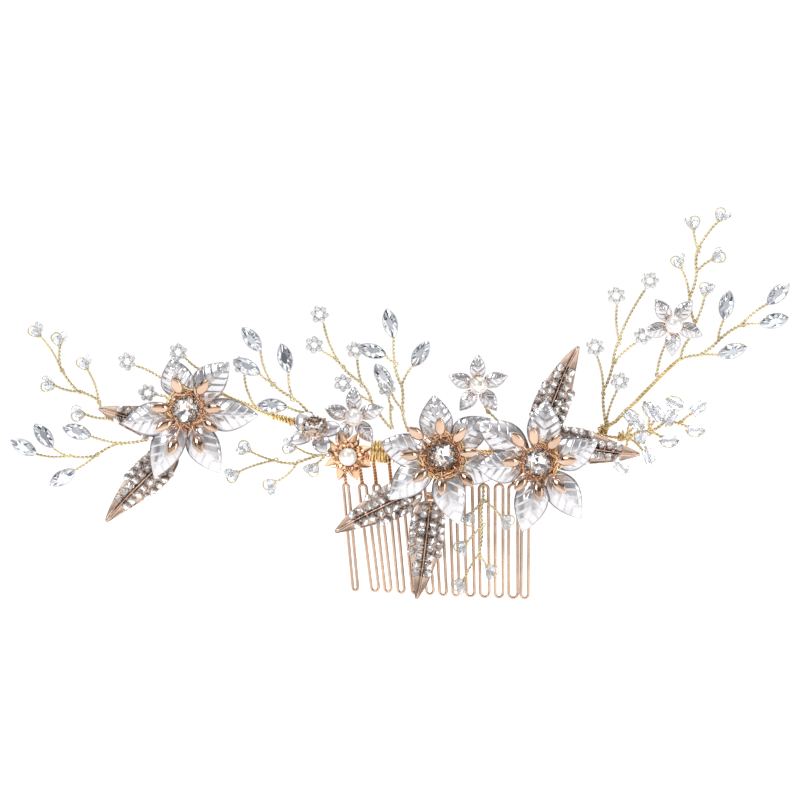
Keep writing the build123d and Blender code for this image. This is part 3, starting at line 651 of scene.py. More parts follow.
def petal(piece, base, tip, out, width, arch, veins=5, vein_height=0.00013, vein_width=0.00014, pillow=0.00042,
          thick=0.00045, crown=0.3, curl=0.05, blunt=False, sway=0.0, bare_root=0.3, roll=0.0, rows=90, columns=45):
    """A pressed petal from base to tip: arched, with a raised midrib, curved side veins and soft cells between."""
    length = np.linalg.norm(tip - base)
    u = np.linspace(0, 1, rows)[:, None]
    v = np.linspace(-1, 1, columns)[None, :]
    v = v * (1.25 - 0.25 * v * v)
    if blunt:
        outline = clamp(1 - np.abs(2 * u ** 0.9 - 1) ** 2.4) ** 0.55
    else:
        outline = np.sin(math.pi * clamp(u) ** 0.95) ** 0.9 * (1 - 0.06 * u)
    half = width / 2 * (np.maximum(outline, 0) + 0.22 * (1 - u) ** 3) + 0.00005
    x = u * length + 0 * v
    y = v * half
    lift = arch * (1 - (2 * u - 1) ** 2) + curl * length * clamp(u - 0.6) ** 2 * 4
    z = lift - crown * half * v ** 2 + roll * y
    rim = clamp((np.abs(v) - 0.87) * 11) * clamp(u * 5)
    groove = 0 * z
    if veins:
        spacing = length * 0.82 / veins
        run = (x - 0.62 * np.abs(y) - 0.1 * y * y / width * 4 - 0.1 * length) / spacing
        off = run - np.round(run)
        fade = clamp((1 - np.abs(v)) * 5) * clamp(u * 7) * clamp((1 - u) * 7)
        real = (np.round(run) >= 0) & (np.round(run) < veins)
        side = np.exp(-(off * spacing / vein_width) ** 2) * real * fade
        midrib = np.exp(-(y / (vein_width * 1.2)) ** 2) * clamp((1 - u) * 8)
        ridge = np.maximum(side, midrib)
        beside = np.exp(-((np.abs(off) * spacing - vein_width * 1.9) / (vein_width * 0.8)) ** 2) * real * fade
        phase = run - np.floor(run)         # each cell swells from one vein and drops steeply to the next
        drop = clamp((1 - phase) * 9)
        cell = phase ** 1.5 * drop * drop * (3 - 2 * drop) * fade * clamp(np.abs(v) * 4)
        z = z + vein_height * ridge + pillow * cell - vein_height * 0.35 * beside
        # painted shade: this mask darkens the enamel in the dip beside the raised veins
        groove = beside * (1 - ridge)
    z = z + 0.00012 * rim
    y = y + sway * length * np.sin(math.pi * u) * (1 - 0.3 * u)
    top = np.stack([x, y, z], -1).reshape(-1, 3)
    points = placed(np.vstack([top, top - UP * thick]), base, tip - base, out)
    bare = clamp((bare_root - u) / max(bare_root, 1e-6) * 1.5) ** 1.3 + 0 * v
    groove, bare, rim = (np.tile(value.ravel(), 2) for value in (groove, bare, rim))
    piece.add(points, plate_faces(rows, columns), groove=groove, bare=bare, rim=rim)


def big_petals(name, body):
    """The six enamelled petals of a big flower, each on its own CAD petal."""
    piece = Piece()
    middle = box_of(name + "_setting")[2]
    for k, solid in enumerate(node_islands(name + "_petals")):
        reach = np.hypot(solid[:, 0] - middle[0], solid[:, 2] - middle[2])
        tip, base = solid[np.argmax(reach)], solid[np.argmin(reach)]
        along = unit(tip - base)
        flat_side = unit(np.cross(along, FACE))
        out = unit(np.cross(flat_side, along))
        petal(piece, base, tip, out, np.ptp(solid @ flat_side) * 1.06, ((solid - base) @ out).max(),
              sway=0.04 * (-1) ** k, curl=0.02 + 0.03 * (k % 3), roll=rng.uniform(-0.16, 0.16),
              crown=rng.uniform(0.22, 0.42))
    piece.build(name + "_enamel_petals", body, [PEARL_ENAMEL], "pearl_enamel", [name + "_petals"])


def ring_petals(piece, node, middle, count, width_share, **shape):
    """The petals of a small flower: their directions are read from the CAD whorl's outline."""
    solid = node_points(node)
    offset = solid - middle
    reach = np.hypot(offset[:, 0], offset[:, 2])
    first = math.atan2(offset[np.argmax(reach), 2], offset[np.argmax(reach), 0])
    seat = np.array((middle[0], solid[:, 1].max(), middle[2])) + FACE * 0.0006
    length = reach.max()
    for k in range(count):
        way = orbit(first + TAU * k / count, RIGHT, UP)
        petal(piece, seat + way * length * 0.14, seat + way * length, FACE, length * width_share, 0.0012, **shape)


def pearl_piece(name, body, coats, tilt, rims):
    """A small flower's pearl in its wire rims, each (height and radius in pearl radii, wander, wire radius, points)."""
    low, high, middle = box_of(name + "_pearl")
    radius = (high[0] - low[0]) / 2
    gem = Piece()
    ball(gem, middle, radius, 0, 26, 36, dimple=0.01, axis=(1, 0, tilt))
    for height, share, wander, wire, count in rims:
        tube(gem, wobbly_loop(middle + FACE * radius * height, FACE, radius * share, wander, count), wire, 6, 1, True)
    gem.build(name + "_pearl_bead", body, coats, "pearl", [name + "_pearl"])


def small_flower(name):
    """A silver five-petalled flower with a pearl in a small gilt rim."""
    piece = Piece()
    body, middle = BODY[name + "_petals"], box_of(name + "_pearl")[2]
    ring_petals(piece, name + "_petals", middle, 5, 0.49, veins=4, vein_height=0.0002, vein_width=0.00015,
                pillow=0.0002, thick=0.0004, bare_root=0.34, rows=56, columns=31, sway=0.02, curl=0.06)
    lathe(piece, [(0, 0.002), (0.0002, 0.0025), (0.0006, 0.0024), (0.0009, 0.0012)],
          (middle[0], box_of(name + "_petals")[1][1], middle[2]), FACE, 24, bare=1.0)
    piece.build(name + "_silver_petals", body, [SILVER_ENAMEL], "silver_enamel", [name + "_petals"])
    pearl_piece(name, body, [PEARL, ROSE_GOLD], 0.4, [(-0.72, 0.8, 0.00005, 0.00022, 40),
                                                      (-0.37, 0.93, 0.00005, 0.00022, 40)])


# ---------------------------------------------------------------- flowers

def scribble(piece, centre, axis, inner, outer, height, count, wire_radius, slot=0, arc=None):
    """Tangled turns of binding wire round a flower's centre; arc keeps them to one side (radians)."""
    axis, a, b = plane_of(axis, UP)
    for _ in range(count):
        start, sweep = rng.uniform(0, 6.28), rng.uniform(3.2, 7.5)
        if arc:
            start, sweep = arc[0] + rng.uniform(-0.3, 0.3), (arc[1] - arc[0]) * rng.uniform(0.5, 1.0)
        t = np.linspace(start, start + sweep, int(sweep * 9) + 8)
        r0, r1 = rng.uniform(inner, outer), rng.uniform(inner, outer)
        r = np.linspace(r0, r1, len(t)) + 0.0006 * np.sin(5 * t + r0 * 9000) + 0.0003 * np.sin(9 * t + r1 * 9000)
        h = rng.uniform(*height) + 0.0007 * np.sin(2.6 * t + r1 * 7000) + 0.0005 * np.sin(4.3 * t)
        tube(piece, centre + orbit(t, a, b, r, axis, h), wire_radius * rng.uniform(0.85, 1.1), 6, slot)


def claw_setting(piece, centre, axis, radius, girdle, floor, claws, claw_width=0.00042, reach=0.0011):
    """A stone cup with claws bent over the stone's edge; girdle and floor are heights along the axis."""
    lathe(piece, [(floor, radius * 0.55), (floor + 0.0003, radius * 0.7), (girdle - 0.0022, radius * 0.9),
                  (girdle - 0.0012, radius * 1.06), (girdle - 0.0002, radius * 1.09), (girdle, radius * 1.06),
                  (girdle - 0.0003, radius * 1.02), (girdle - 0.0016, radius * 0.9), (floor + 0.0003, radius * 0.5)],
          centre, axis, 40)
    axis, a, b = plane_of(axis, (0.3, 0.2, 0.9))
    for k in range(claws):
        way = orbit(TAU * k / claws + rng.uniform(-0.05, 0.05), a, b)
        path = [(1.0, girdle - 0.003), (1.12, girdle - 0.0012), (1.1, girdle + 0.0002), (0.99, girdle + reach * 0.62),
                (0.88, girdle + reach)]
        line = curve([centre + way * radius * r + axis * h for r, h in path], 0.00022)
        taper = claw_width * np.linspace(1.0, 0.72, len(line))
        taper[-2:] *= (0.85, 0.45)
        tube(piece, line, taper, 8)


def stamen(piece, solid, middle):
    """A gilt stamen on its CAD one: a bent stalk and a flattened spoon head."""
    head, root_in = 0.007, 0.0011
    along = axes_of(solid)[0]
    reach = (solid - middle) @ along
    if abs(reach.max()) < abs(reach.min()):
        along, reach = -along, -reach
    start, end = solid[reach < reach.min() + 1e-5].mean(0), solid[reach > reach.max() - 1e-5].mean(0)
    stalk = np.linalg.norm(end - start) - head
    out = unit(np.cross(unit(np.cross(along, FACE)), along))
    line = curve([start - along * root_in - out * 0.0007, start, start + along * (stalk + 0.0006)], 0.0004)
    tube(piece, line, 0.00036, 8)
    share = np.linspace(0, 1, 22)
    swell = 0.0017 * np.sin(math.pi * share ** 0.9) ** 0.62 + 0.00034 * (1 - share)
    lathe(piece, np.stack([stalk + share * head * 0.97, np.maximum(swell, 0.00006)], -1), start, along, 24,
          flat=0.6, across=out)


def big_flower(name, body, tangle_arc, tangle_count):
    """A big flower: petals, stamens, setting with tangled wire, and stone."""
    big_petals(name, body)
    low, high, middle = box_of(name + "_setting")
    heads, metal, tangle, gem = (Piece() for _ in range(4))
    for solid in node_islands(name + "_stamens"):
        stamen(heads, solid, middle)
    heads.build(name + "_gilt_stamens", body, [ROSE_GOLD], "rose_gold", [name + "_stamens"])
    seat = np.array((middle[0], high[1], middle[2]))
    depth = high[1] - low[1]
    girdle = depth - 0.0013
    lathe(metal, [(0, 0.0022), (0.0001, 0.003), (0.0022, 0.0031), (0.0034, 0.0028), (0.0036, 0.002)], seat, FACE, 30)
    claw_setting(metal, seat, FACE, 0.0046, girdle, depth - 0.0046, 6)
    metal.build(name + "_claw_setting", body, [ROSE_GOLD], "rose_gold", [name + "_setting"])
    scribble(tangle, seat, FACE, 0.0044, 0.0058, (0.0018, depth - 0.0038), 5, 0.0003)
    scribble(tangle, seat, FACE, 0.0048, 0.0078, (0.0034, depth - 0.0016), tangle_count, 0.00028, 0, tangle_arc)
    scribble(tangle, seat, FACE, 0.005, 0.0082, (0.004, depth - 0.0016), 2, 0.00026, 1, tangle_arc)
    tangle.build(name + "_tangle", body, [COPPER, GOLD_WIRE], "copper_wire")
    brilliant(gem, seat + FACE * girdle, FACE, STONE_RADIUS, pavilion=0.62)
    gem.build(name + "_brilliant", body, [CLEAR_STONE, FOIL], "clear_stone", [name + "_stone"])


def gold_flower():
    """The coppery flower: eight pointed petals, a ridged inner cup and a warm pearl."""
    name = "gold_flower"
    middle = box_of(name + "_pearl")[2]
    leaves = Piece()
    ring_petals(leaves, name + "_petals", middle, 8, 0.44, veins=0, thick=0.0004, bare_root=0.0,
                rows=44, columns=21, curl=0.1, crown=-0.35)
    seat = np.array((middle[0], box_of(name + "_cup")[1][1], middle[2]))
    for row, (r, h, tilt) in enumerate(((0.0030, 0.0012, 0.0011), (0.0036, 0.0004, 0.0016))):
        for k in range(9):
            way = orbit(TAU * (k + row / 2) / 9, RIGHT, UP)
            petal(leaves, seat + way * r * 0.55 + FACE * h, seat + way * (r + tilt) + FACE * (h + 0.003),
                  unit(FACE - way * 0.5), 0.003, 0.0005, veins=0, crown=0.5, thick=0.0003, bare_root=0.0,
                  rows=30, columns=15)
    leaves.build(name + "_stamped_petals", "comb", [GILT_COPPER], "copper_wire", [name + "_petals", name + "_cup"])
    pearl_piece(name, "comb", [WARM_PEARL, COPPER], 0.2, [(-0.5, 0.9, 0.00006, 0.00024, 44)])


def bud_flower():
    """The bud: a brilliant in a many-clawed gilt cup with smooth satin petals behind."""
    name = "bud_flower"
    stone = node_points(name + "_stone")
    middle = middle_of(stone)
    out = axes_of(stone)[2]
    out = out if out @ FACE > 0 else -out
    heights = node_points(name + "_setting") @ out
    seat = middle + out * (heights.min() - middle @ out)
    girdle = np.ptp(heights) - 0.0009
    metal, gem, leaves = (Piece() for _ in range(3))
    lathe(metal, [(0, 0.0018), (0.0002, 0.0023), (0.0016, 0.0024), (0.002, 0.0016)], seat, out, 24)
    claw_setting(metal, seat, out, BUD_STONE_RADIUS, girdle, girdle - 0.0034, 12, claw_width=0.00034, reach=0.0009)
    _, a, b = plane_of(out, UP)
    for t in spaced(24):
        ball(metal, seat + orbit(t, a, b, 0.0041, out, girdle - 0.0009), 0.00034, 0, 6, 8)
    metal.build(name + "_claw_cup", "comb", [ROSE_GOLD], "rose_gold", [name + "_setting"])
    brilliant(gem, seat + out * girdle, out, BUD_STONE_RADIUS)
    gem.build(name + "_brilliant", "comb", [CLEAR_STONE, FOIL], "clear_stone", [name + "_stone"])
    foot = seat - out * 0.0006
    for degrees, reach, width in ((128, 8.6, 7.4), (14, 8.8, 5.4), (204, 8.8, 5.0), (-62, 8.2, 5.8)):
        way = orbit(math.radians(degrees), RIGHT, UP)
        way = unit(way - out * (way @ out))
        petal(leaves, foot + way * 0.002, foot + way * reach * MM + out * 0.0012, out, width * MM, 0.0013, veins=0,
              thick=0.0005, blunt=True, curl=0.08, bare_root=0.1, rows=52, columns=27)
    lathe(leaves, [(0, 0.0028), (0.0003, 0.0033), (0.0008, 0.0032), (0.001, 0.0022)], seat - out * 0.001, out, 30)
    leaves.build(name + "_satin_petals", "comb", [PEARL_ENAMEL], "pearl_enamel", [name + "_petals"])


# ---------------------------------------------------------------- leaves

def leaf_facts(node):
    """Root, direction, side, length and half width of a leaf's plate, read from its outline."""
    solid = node_points(node)
    flat = axes_of(solid[:, (0, 2)])
    along = np.array((flat[0, 0], 0, flat[0, 1]))
    t = solid @ along
    w = solid @ np.array((-along[2], 0, along[0]))
    if t[np.argmax(np.abs(w - np.median(w)))] > middle_of(t):
        t = -t
    tip, root = solid[np.argmax(t)].copy(), solid[np.argmin(t)].copy()
    root[1] = tip[1] = solid[:, 1].max()
    along = unit(tip - root)
    side = np.cross(FACE, along)
    return root, along, side, np.linalg.norm(tip - root), np.abs((solid - root) @ side).max()


def leaf_half(share, half_width):
    """Half a leaf's width at a share of its length: blunt at the root, with a long narrow tip."""
    return half_width * np.sin(math.pi * clamp(share) ** 0.6) ** 0.9


def leaf_height(x, y, length):
    """How far a leaf's bowed face stands out from its back."""
    s = x / length
    return 0.0009 + 0.0032 * s * (1 - s) - 0.05 * np.abs(y) + 0.0016 * clamp((s - 0.72) / 0.28) ** 2


def pave_leaf(node, body, stones, sway, gems):
    """A cast leaf: bowed plate with scalloped edges, raised midrib and a long plain tip; its stones go into gems."""
    root, along, side, length, half_width = leaf_facts(node)
    rows, columns = 110, 41
    s = np.linspace(0, 1, rows)[:, None]
    v = np.linspace(-1, 1, columns)[None, :]
    half = (leaf_half(s, half_width) - 0.0007 * clamp(s * 8) * clamp((0.85 - s) * 4)
            + 0.0009 * (1 - s) ** 8 + 0.00045 * s ** 6)
    x = s * length + 0 * v
    y = v * half
    rib = 0.0008 * np.exp(-(y / 0.00042) ** 2) * clamp((1 - s) * 12) * np.clip(s * 20, 0.3, 1)
    rim = 0.00022 * clamp((np.abs(v) - 0.86) * 9)
    hollow = -0.00018 * clamp((s - 0.74) / 0.1) * (1 - v ** 2)
    back = leaf_height(x, y, length)
    bent = y + sway * clamp((s - 0.6) / 0.4) ** 2
    layers = [np.stack([x, bent, z], -1).reshape(-1, 3) for z in (back + rib + rim + hollow, back - 0.0008)]
    leaf = Piece()
    leaf.add(placed(np.vstack(layers), root, along, FACE), plate_faces(rows, columns))
    places = []
    for middle in map(middle_of, stones):
        x0, y0 = (middle - root) @ along, (middle - root) @ side
        if -0.002 < x0 < length and abs(y0) < half_width * 1.05 and abs(middle[1] - root[1]) < 0.003:
            places.append((x0, y0))
    for x0, y0 in places:
        x1, y1 = x0 + rng.uniform(-1, 1) * 0.00012, y0 + rng.uniform(-1, 1) * 0.0001
        size = PAVE_RADIUS * rng.uniform(0.9, 1.06)
        height = float(leaf_height(x1, y1, length)) + 0.0007
        axis = unit(FACE + side * (0.05 * np.sign(y1) + rng.uniform(-0.08, 0.08)) + along * rng.uniform(-0.1, 0.1))
        centre = root + along * x1 + side * (y1 + sway * max((x1 / length - 0.6) / 0.4, 0) ** 2) + FACE * height
        brilliant(gems, centre, axis, size, 6, crown=0.4, pavilion=0.5, table=0.5, backed=True)
        # the seat round the stone is slot 1, the darker metal painted as shade between the stones
        lathe(leaf, [(-0.0012, size * 0.7), (-0.0005, size), (-0.00005, size * 1.07), (0.00004, size * 1.02),
                     (-0.0002, size * 0.98), (-0.0009, size * 0.5)], centre, axis, 14, 1)
        turn = rng.uniform(0, 6.28)
        for k in range(4):
            ball(leaf, centre + orbit(turn + k * math.pi / 2, along, side, size, axis, 0.00014), 0.00022, 2, 5, 7)
    leaf.build(node + "_casting", body, [LEAF_METAL, SEAT_SHADE_METAL, PRONG], "rose_gold", [node])


def all_leaves():
    """The six pave leaves with the sideways curve of their tips, then their stones as one piece for each body."""
    sways = {"pave_leaf_far_left": -0.0006, "pave_leaf_lower_left": 0.0008, "pave_leaf_comb_left": 0.0008,
             "pave_leaf_comb_middle": -0.0009, "pave_leaf_upper_right": -0.0012, "pave_leaf_lower_right": 0.0008}
    for stones_node, body in (("left_leaf_stones", "left_vine"), ("centre_leaf_stones", "comb")):
        stones = node_islands(stones_node)
        gems = Piece()
        for node, sway in sways.items():
            if BODY[node] == body:
                pave_leaf(node, body, stones, sway, gems)
        gems.build(stones_node + "_cut", body, [PAVE_STONE], "clear_stone", [stones_node])


# ---------------------------------------------------------------- wires and beads

def eye_loop(piece, centre, along, radius, wire_radius):
    """The little eye that the wire makes where a twig leaves the trunk."""
    tilt = unit(FACE + unit(np.cross(along, FACE)) * rng.uniform(-0.4, 0.4))
    a = unit(along - tilt * (along @ tilt))
    t = np.linspace(0, TAU * 1.15, 26)
    rise = np.linspace(-wire_radius, wire_radius, len(t))
    tube(piece, centre + orbit(t, a, 0.8 * np.cross(tilt, a), radius, tilt, rise), wire_radius)


def sprig_piece(node, body, slot_name, metal):
    """One sprig node: twisted trunk and twigs with an eye at most of the junctions."""
    piece = Piece()
    trunks, twigs = chains(node)
    twig_wire = 0.00023
    joints = []
    for line, _ in trunks:
        twisted(piece, line, 2, 0.00027, 0.0029, 0.00030)
    for line, _ in twigs:
        twisted(piece, line, 2, twig_wire, 0.0027, 0.00026)
        if trunks:
            gap = [min(np.linalg.norm(t - e, axis=1).min() for t, _ in trunks) for e in line[[0, -1]]]
            joints.append((line[[0, -1]][int(np.argmin(gap))], unit(line[-1] - line[0])))
    for place, along in joints:
        if rng.random() < 0.7:
            eye_loop(piece, place + along * 0.0008, along, 0.00075, twig_wire)
    piece.build(node + "_twisted", body, [metal], slot_name, [node])


def marquise_piece(place, body):
    """The boat-shaped stones, each in a fine silver rim with a foil back."""
    node = place + "_marquises"
    piece = Piece()
    for solid in node_islands(node):
        middle = middle_of(solid)
        along, _, out = axes_of(solid)
        out = out if out @ FACE >= 0 else -out
        girdle = navette(piece, middle, along, out, 0.0101, 0.0049, 0.0028)
        ring = curve(np.vstack([girdle, girdle[:1]]), 0.0003)
        tube(piece, ring[:-1], 0.00024, 6, 1, closed=True)
        for end in (-1, 1):
            ball(piece, middle + along * end * 0.0051, 0.0003, 1, 5, 8)
    piece.build(place + "_navettes", body, [MARQUISE_STONE, RIM], "marquise_stone", [node])


def teardrop(piece, root, along, out, length, width, wire_radius):
    """A teardrop loop of wire that starts and ends at its root."""
    t = np.linspace(0, TAU, 40)
    local = np.stack([(1 - np.cos(t)) / 2 * length, np.sin(t) * np.sin(t / 2) ** 1.2 * width * 0.65,
                      0.0003 * np.sin(t)], -1)
    tube(piece, placed(local, root, along, out), wire_radius)


def ways_round(step):
    """Directions in the comb's plane, every few degrees of half a turn."""
    return [orbit(math.radians(a), RIGHT, UP) for a in range(0, 180, step)]


def crystal_axis(solid):
    """A crystal's long axis: the line between its two hexagonal ends."""
    offsets = solid - solid.mean(0)

    def score(way):
        t = np.sort(offsets @ way)
        return (t[-1] - t[0]) + 3 * (-(t[-1] - t[-5]) - (t[4] - t[0]))

    return max(ways_round(2), key=score)


def crystal_piece(place, body, wire_ends):
    """Each cut crystal as an uneven pair of beads with a teardrop of wire from the nearest twig's end."""
    node = place + "_crystals"
    beads, loops = Piece(), Piece()
    for solid in node_islands(node):
        middle, along = middle_of(solid), crystal_axis(solid)
        near = wire_ends[int(np.argmin(np.linalg.norm(wire_ends - middle, axis=1)))]
        if (middle - near) @ along < 0:
            along = -along
        side = unit(np.cross(FACE, along)) * rng.choice((-1, 1))
        lean = rng.uniform(0.3, 0.9)
        cut_crystal(beads, middle + along * 0.0008 + side * 0.0009,
                    unit(along + side * lean + FACE * rng.uniform(-0.3, 0.3)), 0.00165, 0.0036)
        cut_crystal(beads, middle - along * 0.0006 - side * 0.0008,
                    unit(along - side * 0.8 + FACE * rng.uniform(-0.3, 0.3)), 0.0015, 0.0031)
        root = near - along * 0.0003
        teardrop(loops, root, unit(along - side * 0.35), FACE, 0.0052, 0.0036, 0.00024)
        teardrop(loops, root, unit(along + side * 0.3), unit(FACE + unit(np.cross(FACE, along)) * 0.5), 0.0034, 0.0012,
                 0.00015)
    beads.build(place + "_cut_crystals", body, [CRYSTAL], "crystal", [node])
    loops.build(place + "_crystal_loops", body, [SPRIG_WIRE], "sprig_wire")


def seed_pearl_piece(place, body):
    """Rings of six little pearls threaded on fine wire."""
    node = place + "_seed_pearls"
    piece = Piece()
    centres = np.array([middle_of(solid) for solid in node_islands(node)])
    left = list(range(len(centres)))
    while left:
        order = sorted(left, key=lambda j: np.linalg.norm(centres[j] - centres[left[0]]))[:6]
        left = [j for j in left if j not in order]
        group = centres[order]
        hub = group.mean(0)
        group = group[np.argsort(np.arctan2(group[:, 2] - hub[2], group[:, 0] - hub[0]))]
        ring = [hub + (g - hub) * rng.uniform(0.93, 1.04) + FACE * rng.uniform(-0.0002, 0.0003) for g in group]
        for g, following in zip(ring, ring[1:] + ring[:1]):
            ball(piece, g, SEED_PEARL_RADIUS * rng.uniform(0.92, 1.04), 0, 12, 16, squash=0.92, axis=following - g,
                 dimple=0.03)
        thread = curve(ring + ring[:1], 0.0003)
        tube(piece, thread[:-1], 0.00011, 5, 1, closed=True)
    piece.build(place + "_pearl_rings", body, [SEED_PEARL, SPRIG_WIRE], "seed_pearl", [node])


def tube_bead_piece():
    """Short clear glass tubes with the wire seen through them and over some of them."""
    glass, threads = Piece(), Piece()
    for solid in node_islands("tube_beads"):
        middle = middle_of(solid)

        def rim_points(way):
            t = np.abs((solid - middle) @ way)
            return (np.abs(t - t.max()) < 0.00006).sum()

        way = max(ways_round(1), key=rim_points)
        half = np.abs((solid - middle) @ way).max()
        side = np.cross(FACE, way)
        quarter = [(half - 0.00022, TUBE_RADIUS), (half, TUBE_RADIUS - 0.00025), (half, TUBE_BORE + 0.00015),
                   (half - 0.0001, TUBE_BORE)]
        lathe(glass, [(-h, r) for h, r in quarter[::-1]] + quarter, middle, way, 28, closed=True)
        for j in (-1, 1):
            tube(threads, curve([middle - way * (half + 0.0009) + side * j * 0.00012, middle - side * j * 0.0001,
                                 middle + way * (half + 0.0007) + side * j * 0.00028], 0.0004), 0.00019)
        if rng.random() < 0.6:
            lobe = side * rng.choice((-1, 1)) * (TUBE_RADIUS + 0.0003)
            tube(threads, curve([middle - way * (half + 0.0006), middle - way * half * 0.7 + lobe * 0.85,
                                 middle + way * half * 0.3 + lobe + FACE * 0.0009,
                                 middle + way * (half + 0.0004) + lobe * 0.4 + FACE * 0.0006,
                                 middle + way * (half + 0.0007)], 0.0004), 0.0002)
        t = np.linspace(0, math.pi * 1.5, 16)
        tube(threads, middle + way * (half + 0.0007) + orbit(t, side, way, 0.0003), 0.00019)
    glass.build("clear_tube_beads", "right_vine", [CLEAR_BEAD], "clear_bead", ["tube_beads"])
    threads.build("tube_bead_threads", "right_vine", [SPRIG_WIRE], "sprig_wire")


def stem_bundle(name, body, reach_to=None):
    """A bundled stem; a side stem reaches a little past its CAD end nearest the place where it bends."""
    piece = Piece()
    for line, radius in chains(name)[0]:
        if reach_to is not None:
            if np.linalg.norm(line[0] - reach_to) >= np.linalg.norm(line[-1] - reach_to):
                line = line[::-1]
            line = np.vstack([line[0] + unit(line[0] - line[2]) * 0.0011, line])
        twisted(piece, line, 3, radius * 0.42, STEM_PITCH, radius * 0.4)
    return piece.build(name + "_bundle", body, [STEM_WIRE], "gold_wire", [name])


def stems():
    """The stem on the bar, and the side stems, each reaching a little past its CAD end towards the place where it
    leaves the comb.
    """
    stem_bundle("centre_stem", "comb")
    for side, toward in (("left", 1), ("right", -1)):
        hinge = np.array(HINGES[side])
        made = stem_bundle(side + "_stem", None, hinge)
        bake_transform(made)


def bindings():
    """Turns of fine wire round the bar, the stem and the middle leaf's root."""
    piece = Piece()
    for solid in node_islands("binding_wire"):
        middle, axes = middle_of(solid), axes_of(solid)
        spans = [np.ptp(solid @ a) / 2 for a in axes]
        axis = axes[int(np.argmin(spans))]
        a = unit(np.cross(axis, (0.1, 0.9, 0.3)))
        t = np.linspace(0, TAU * 1.08, 44)
        shift = rng.uniform(0, 6.28)
        r = max(spans) - min(spans) + rng.uniform(-0.00012, 0.00008) + 0.00012 * np.sin(3 * t + shift)
        h = np.linspace(-0.5, 0.5, len(t)) * rng.uniform(0.0003, 0.0011)
        tube(piece, middle + orbit(t + shift, a, np.cross(axis, a), r, axis, h), min(spans) * rng.uniform(0.85, 1.0), 6,
             0 if middle[0] < -0.044 else 1)
    piece.build("binding_turns", "comb", [GOLD_WIRE, COPPER], "copper_wire", ["binding_wire"])


def wrap(piece, middle, along, across, up, length, turns, wire_radius):
    """Untidy turns of wire round a bundle: across and up are the half widths of the bundle with the wire."""
    along = unit(along)
    b = unit(UP - along * (UP @ along))
    a = np.cross(b, along)
    t = np.linspace(0, TAU * turns, int(turns * 26))
    jitter = 0.00022 * np.sin(2.3 * t + 1) + 0.00018 * np.sin(1.37 * t)
    x = (t / t[-1] - 0.5) * length + 0.0004 * np.sin(0.9 * t) + 0.00025 * np.sin(t + 0.7)
    tube(piece, middle + x[:, None] * along + ((across + jitter) * np.cos(t))[:, None] * a
         + ((up + jitter) * np.sin(t))[:, None] * b, wire_radius)


def loose_wires():
    """The wraps, ropes, hooks and scrolls that tie the decorations to the comb; slot 1 is the copper wire."""
    piece = Piece()
    bar = np.array((-0.0205, -0.0006, 0.0019))
    for turns, shift in ((8, 0.0), (6, 0.0006)):
        wrap(piece, bar + RIGHT * shift, (1, 0, -0.04), 0.0030, 0.0037, 0.0062, turns, 0.00027)
    rope = curve(MM * np.array([(5.5, -10.2, 1.6), (9, -10.4, 2.4), (12, -10.2, 2.7), (16, -9.6, 1.7), (20, -8.8, 1.0),
                                (25, -7, 0.6)]), 0.0006)
    twisted(piece, rope, 2, 0.0003, 0.0026, 0.00029, slot=1, ragged=0.0002)
    for place, radius in (((-4.4, -4.9, -16.9), 1.25), ((-1.5, -4.9, -15.9), 1.0)):
        t = np.linspace(0, TAU * 1.6, 40)
        scroll = orbit(t, UP, RIGHT, radius * MM * (1 - 0.28 * t / t[-1]), FACE, 0.0004 * t / t[-1])
        tube(piece, MM * np.array(place) + scroll, 0.00028, 7, 1)
    pearl_twig = curve(MM * np.array([(17.4, -2.6, 15.9), (15.6, -3.0, 19.6), (14.3, -3.3, 23.8)]), 0.0005)
    twisted(piece, pearl_twig, 2, 0.00024, 0.0025, 0.00022)
    low, high, pearl = box_of("middle_pearl_flower_pearl")
    over = [(-0.75, 0.35, 0.85), (-0.5, -0.25, 0.98), (-0.2, -0.75, 0.78), (0.15, -0.98, 0.42), (0.35, -1.03, 0.16),
            (0.2, -1.05, 0.0), (0.0, -1.05, 0.1)]
    tube(piece, curve([pearl + unit(way) * (high[0] - low[0]) / 2 * 1.05 for way in over], 0.0003), 0.0002)
    piece.build("comb_loose_wires", "comb", [GOLD_WIRE, COPPER], "gold_wire")
    knots = Piece()
    for place, count, size in (((57.4, -2.2, 9.3), 5, 1.5), ((64.3, -2.4, 7.3), 4, 1.3)):
        scribble(knots, MM * np.array(place), (0.8, -0.3, 0.3), 0.0007, size * MM, (-0.0008, 0.0008), count, 0.00024)
    knots.build("right_vine_knots", "right_vine", [STEM_WIRE], "gold_wire")


def necks():
    """The twisted wire between the bar and each tooth."""
    piece = Piece()
    for solid in node_islands("comb_neck_twists"):
        twisted(piece, wire_rings(solid)[0], 2, 0.0004, 0.0021, 0.00038)
    piece.build("twisted_necks", "comb", [COPPER], "copper_wire", ["comb_neck_twists"])


# ---------------------------------------------------------------- putting it together

for place, body in (("left", "left_vine"), ("centre", "comb"), ("right", "right_vine")):
    for kind in ("crystal", "pearl", "marquise"):
        sprig_piece(place + "_" + kind + "_wires", body, "sprig_wire", SPRIG_WIRE)
    crystal_piece(place, body, np.vstack([line[[0, -1]] for line, _ in chains(place + "_crystal_wires")[1]]))
    marquise_piece(place, body)
    seed_pearl_piece(place, body)

sprig_piece("tube_bead_wires", "right_vine", "gold_wire", STEM_WIRE)
tube_bead_piece()
stems()
bindings()
loose_wires()
necks()
all_leaves()
big_flower("left_flower", "left_vine", (-1.9, 0.5), 7)
big_flower("middle_flower", "comb", (0, 6.28), 10)
big_flower("right_flower", "comb", (2.6, 5.2), 9)
for name in ("left_pearl_flower", "middle_pearl_flower", "right_pearl_flower"):
    small_flower(name)
gold_flower()
bud_flower()

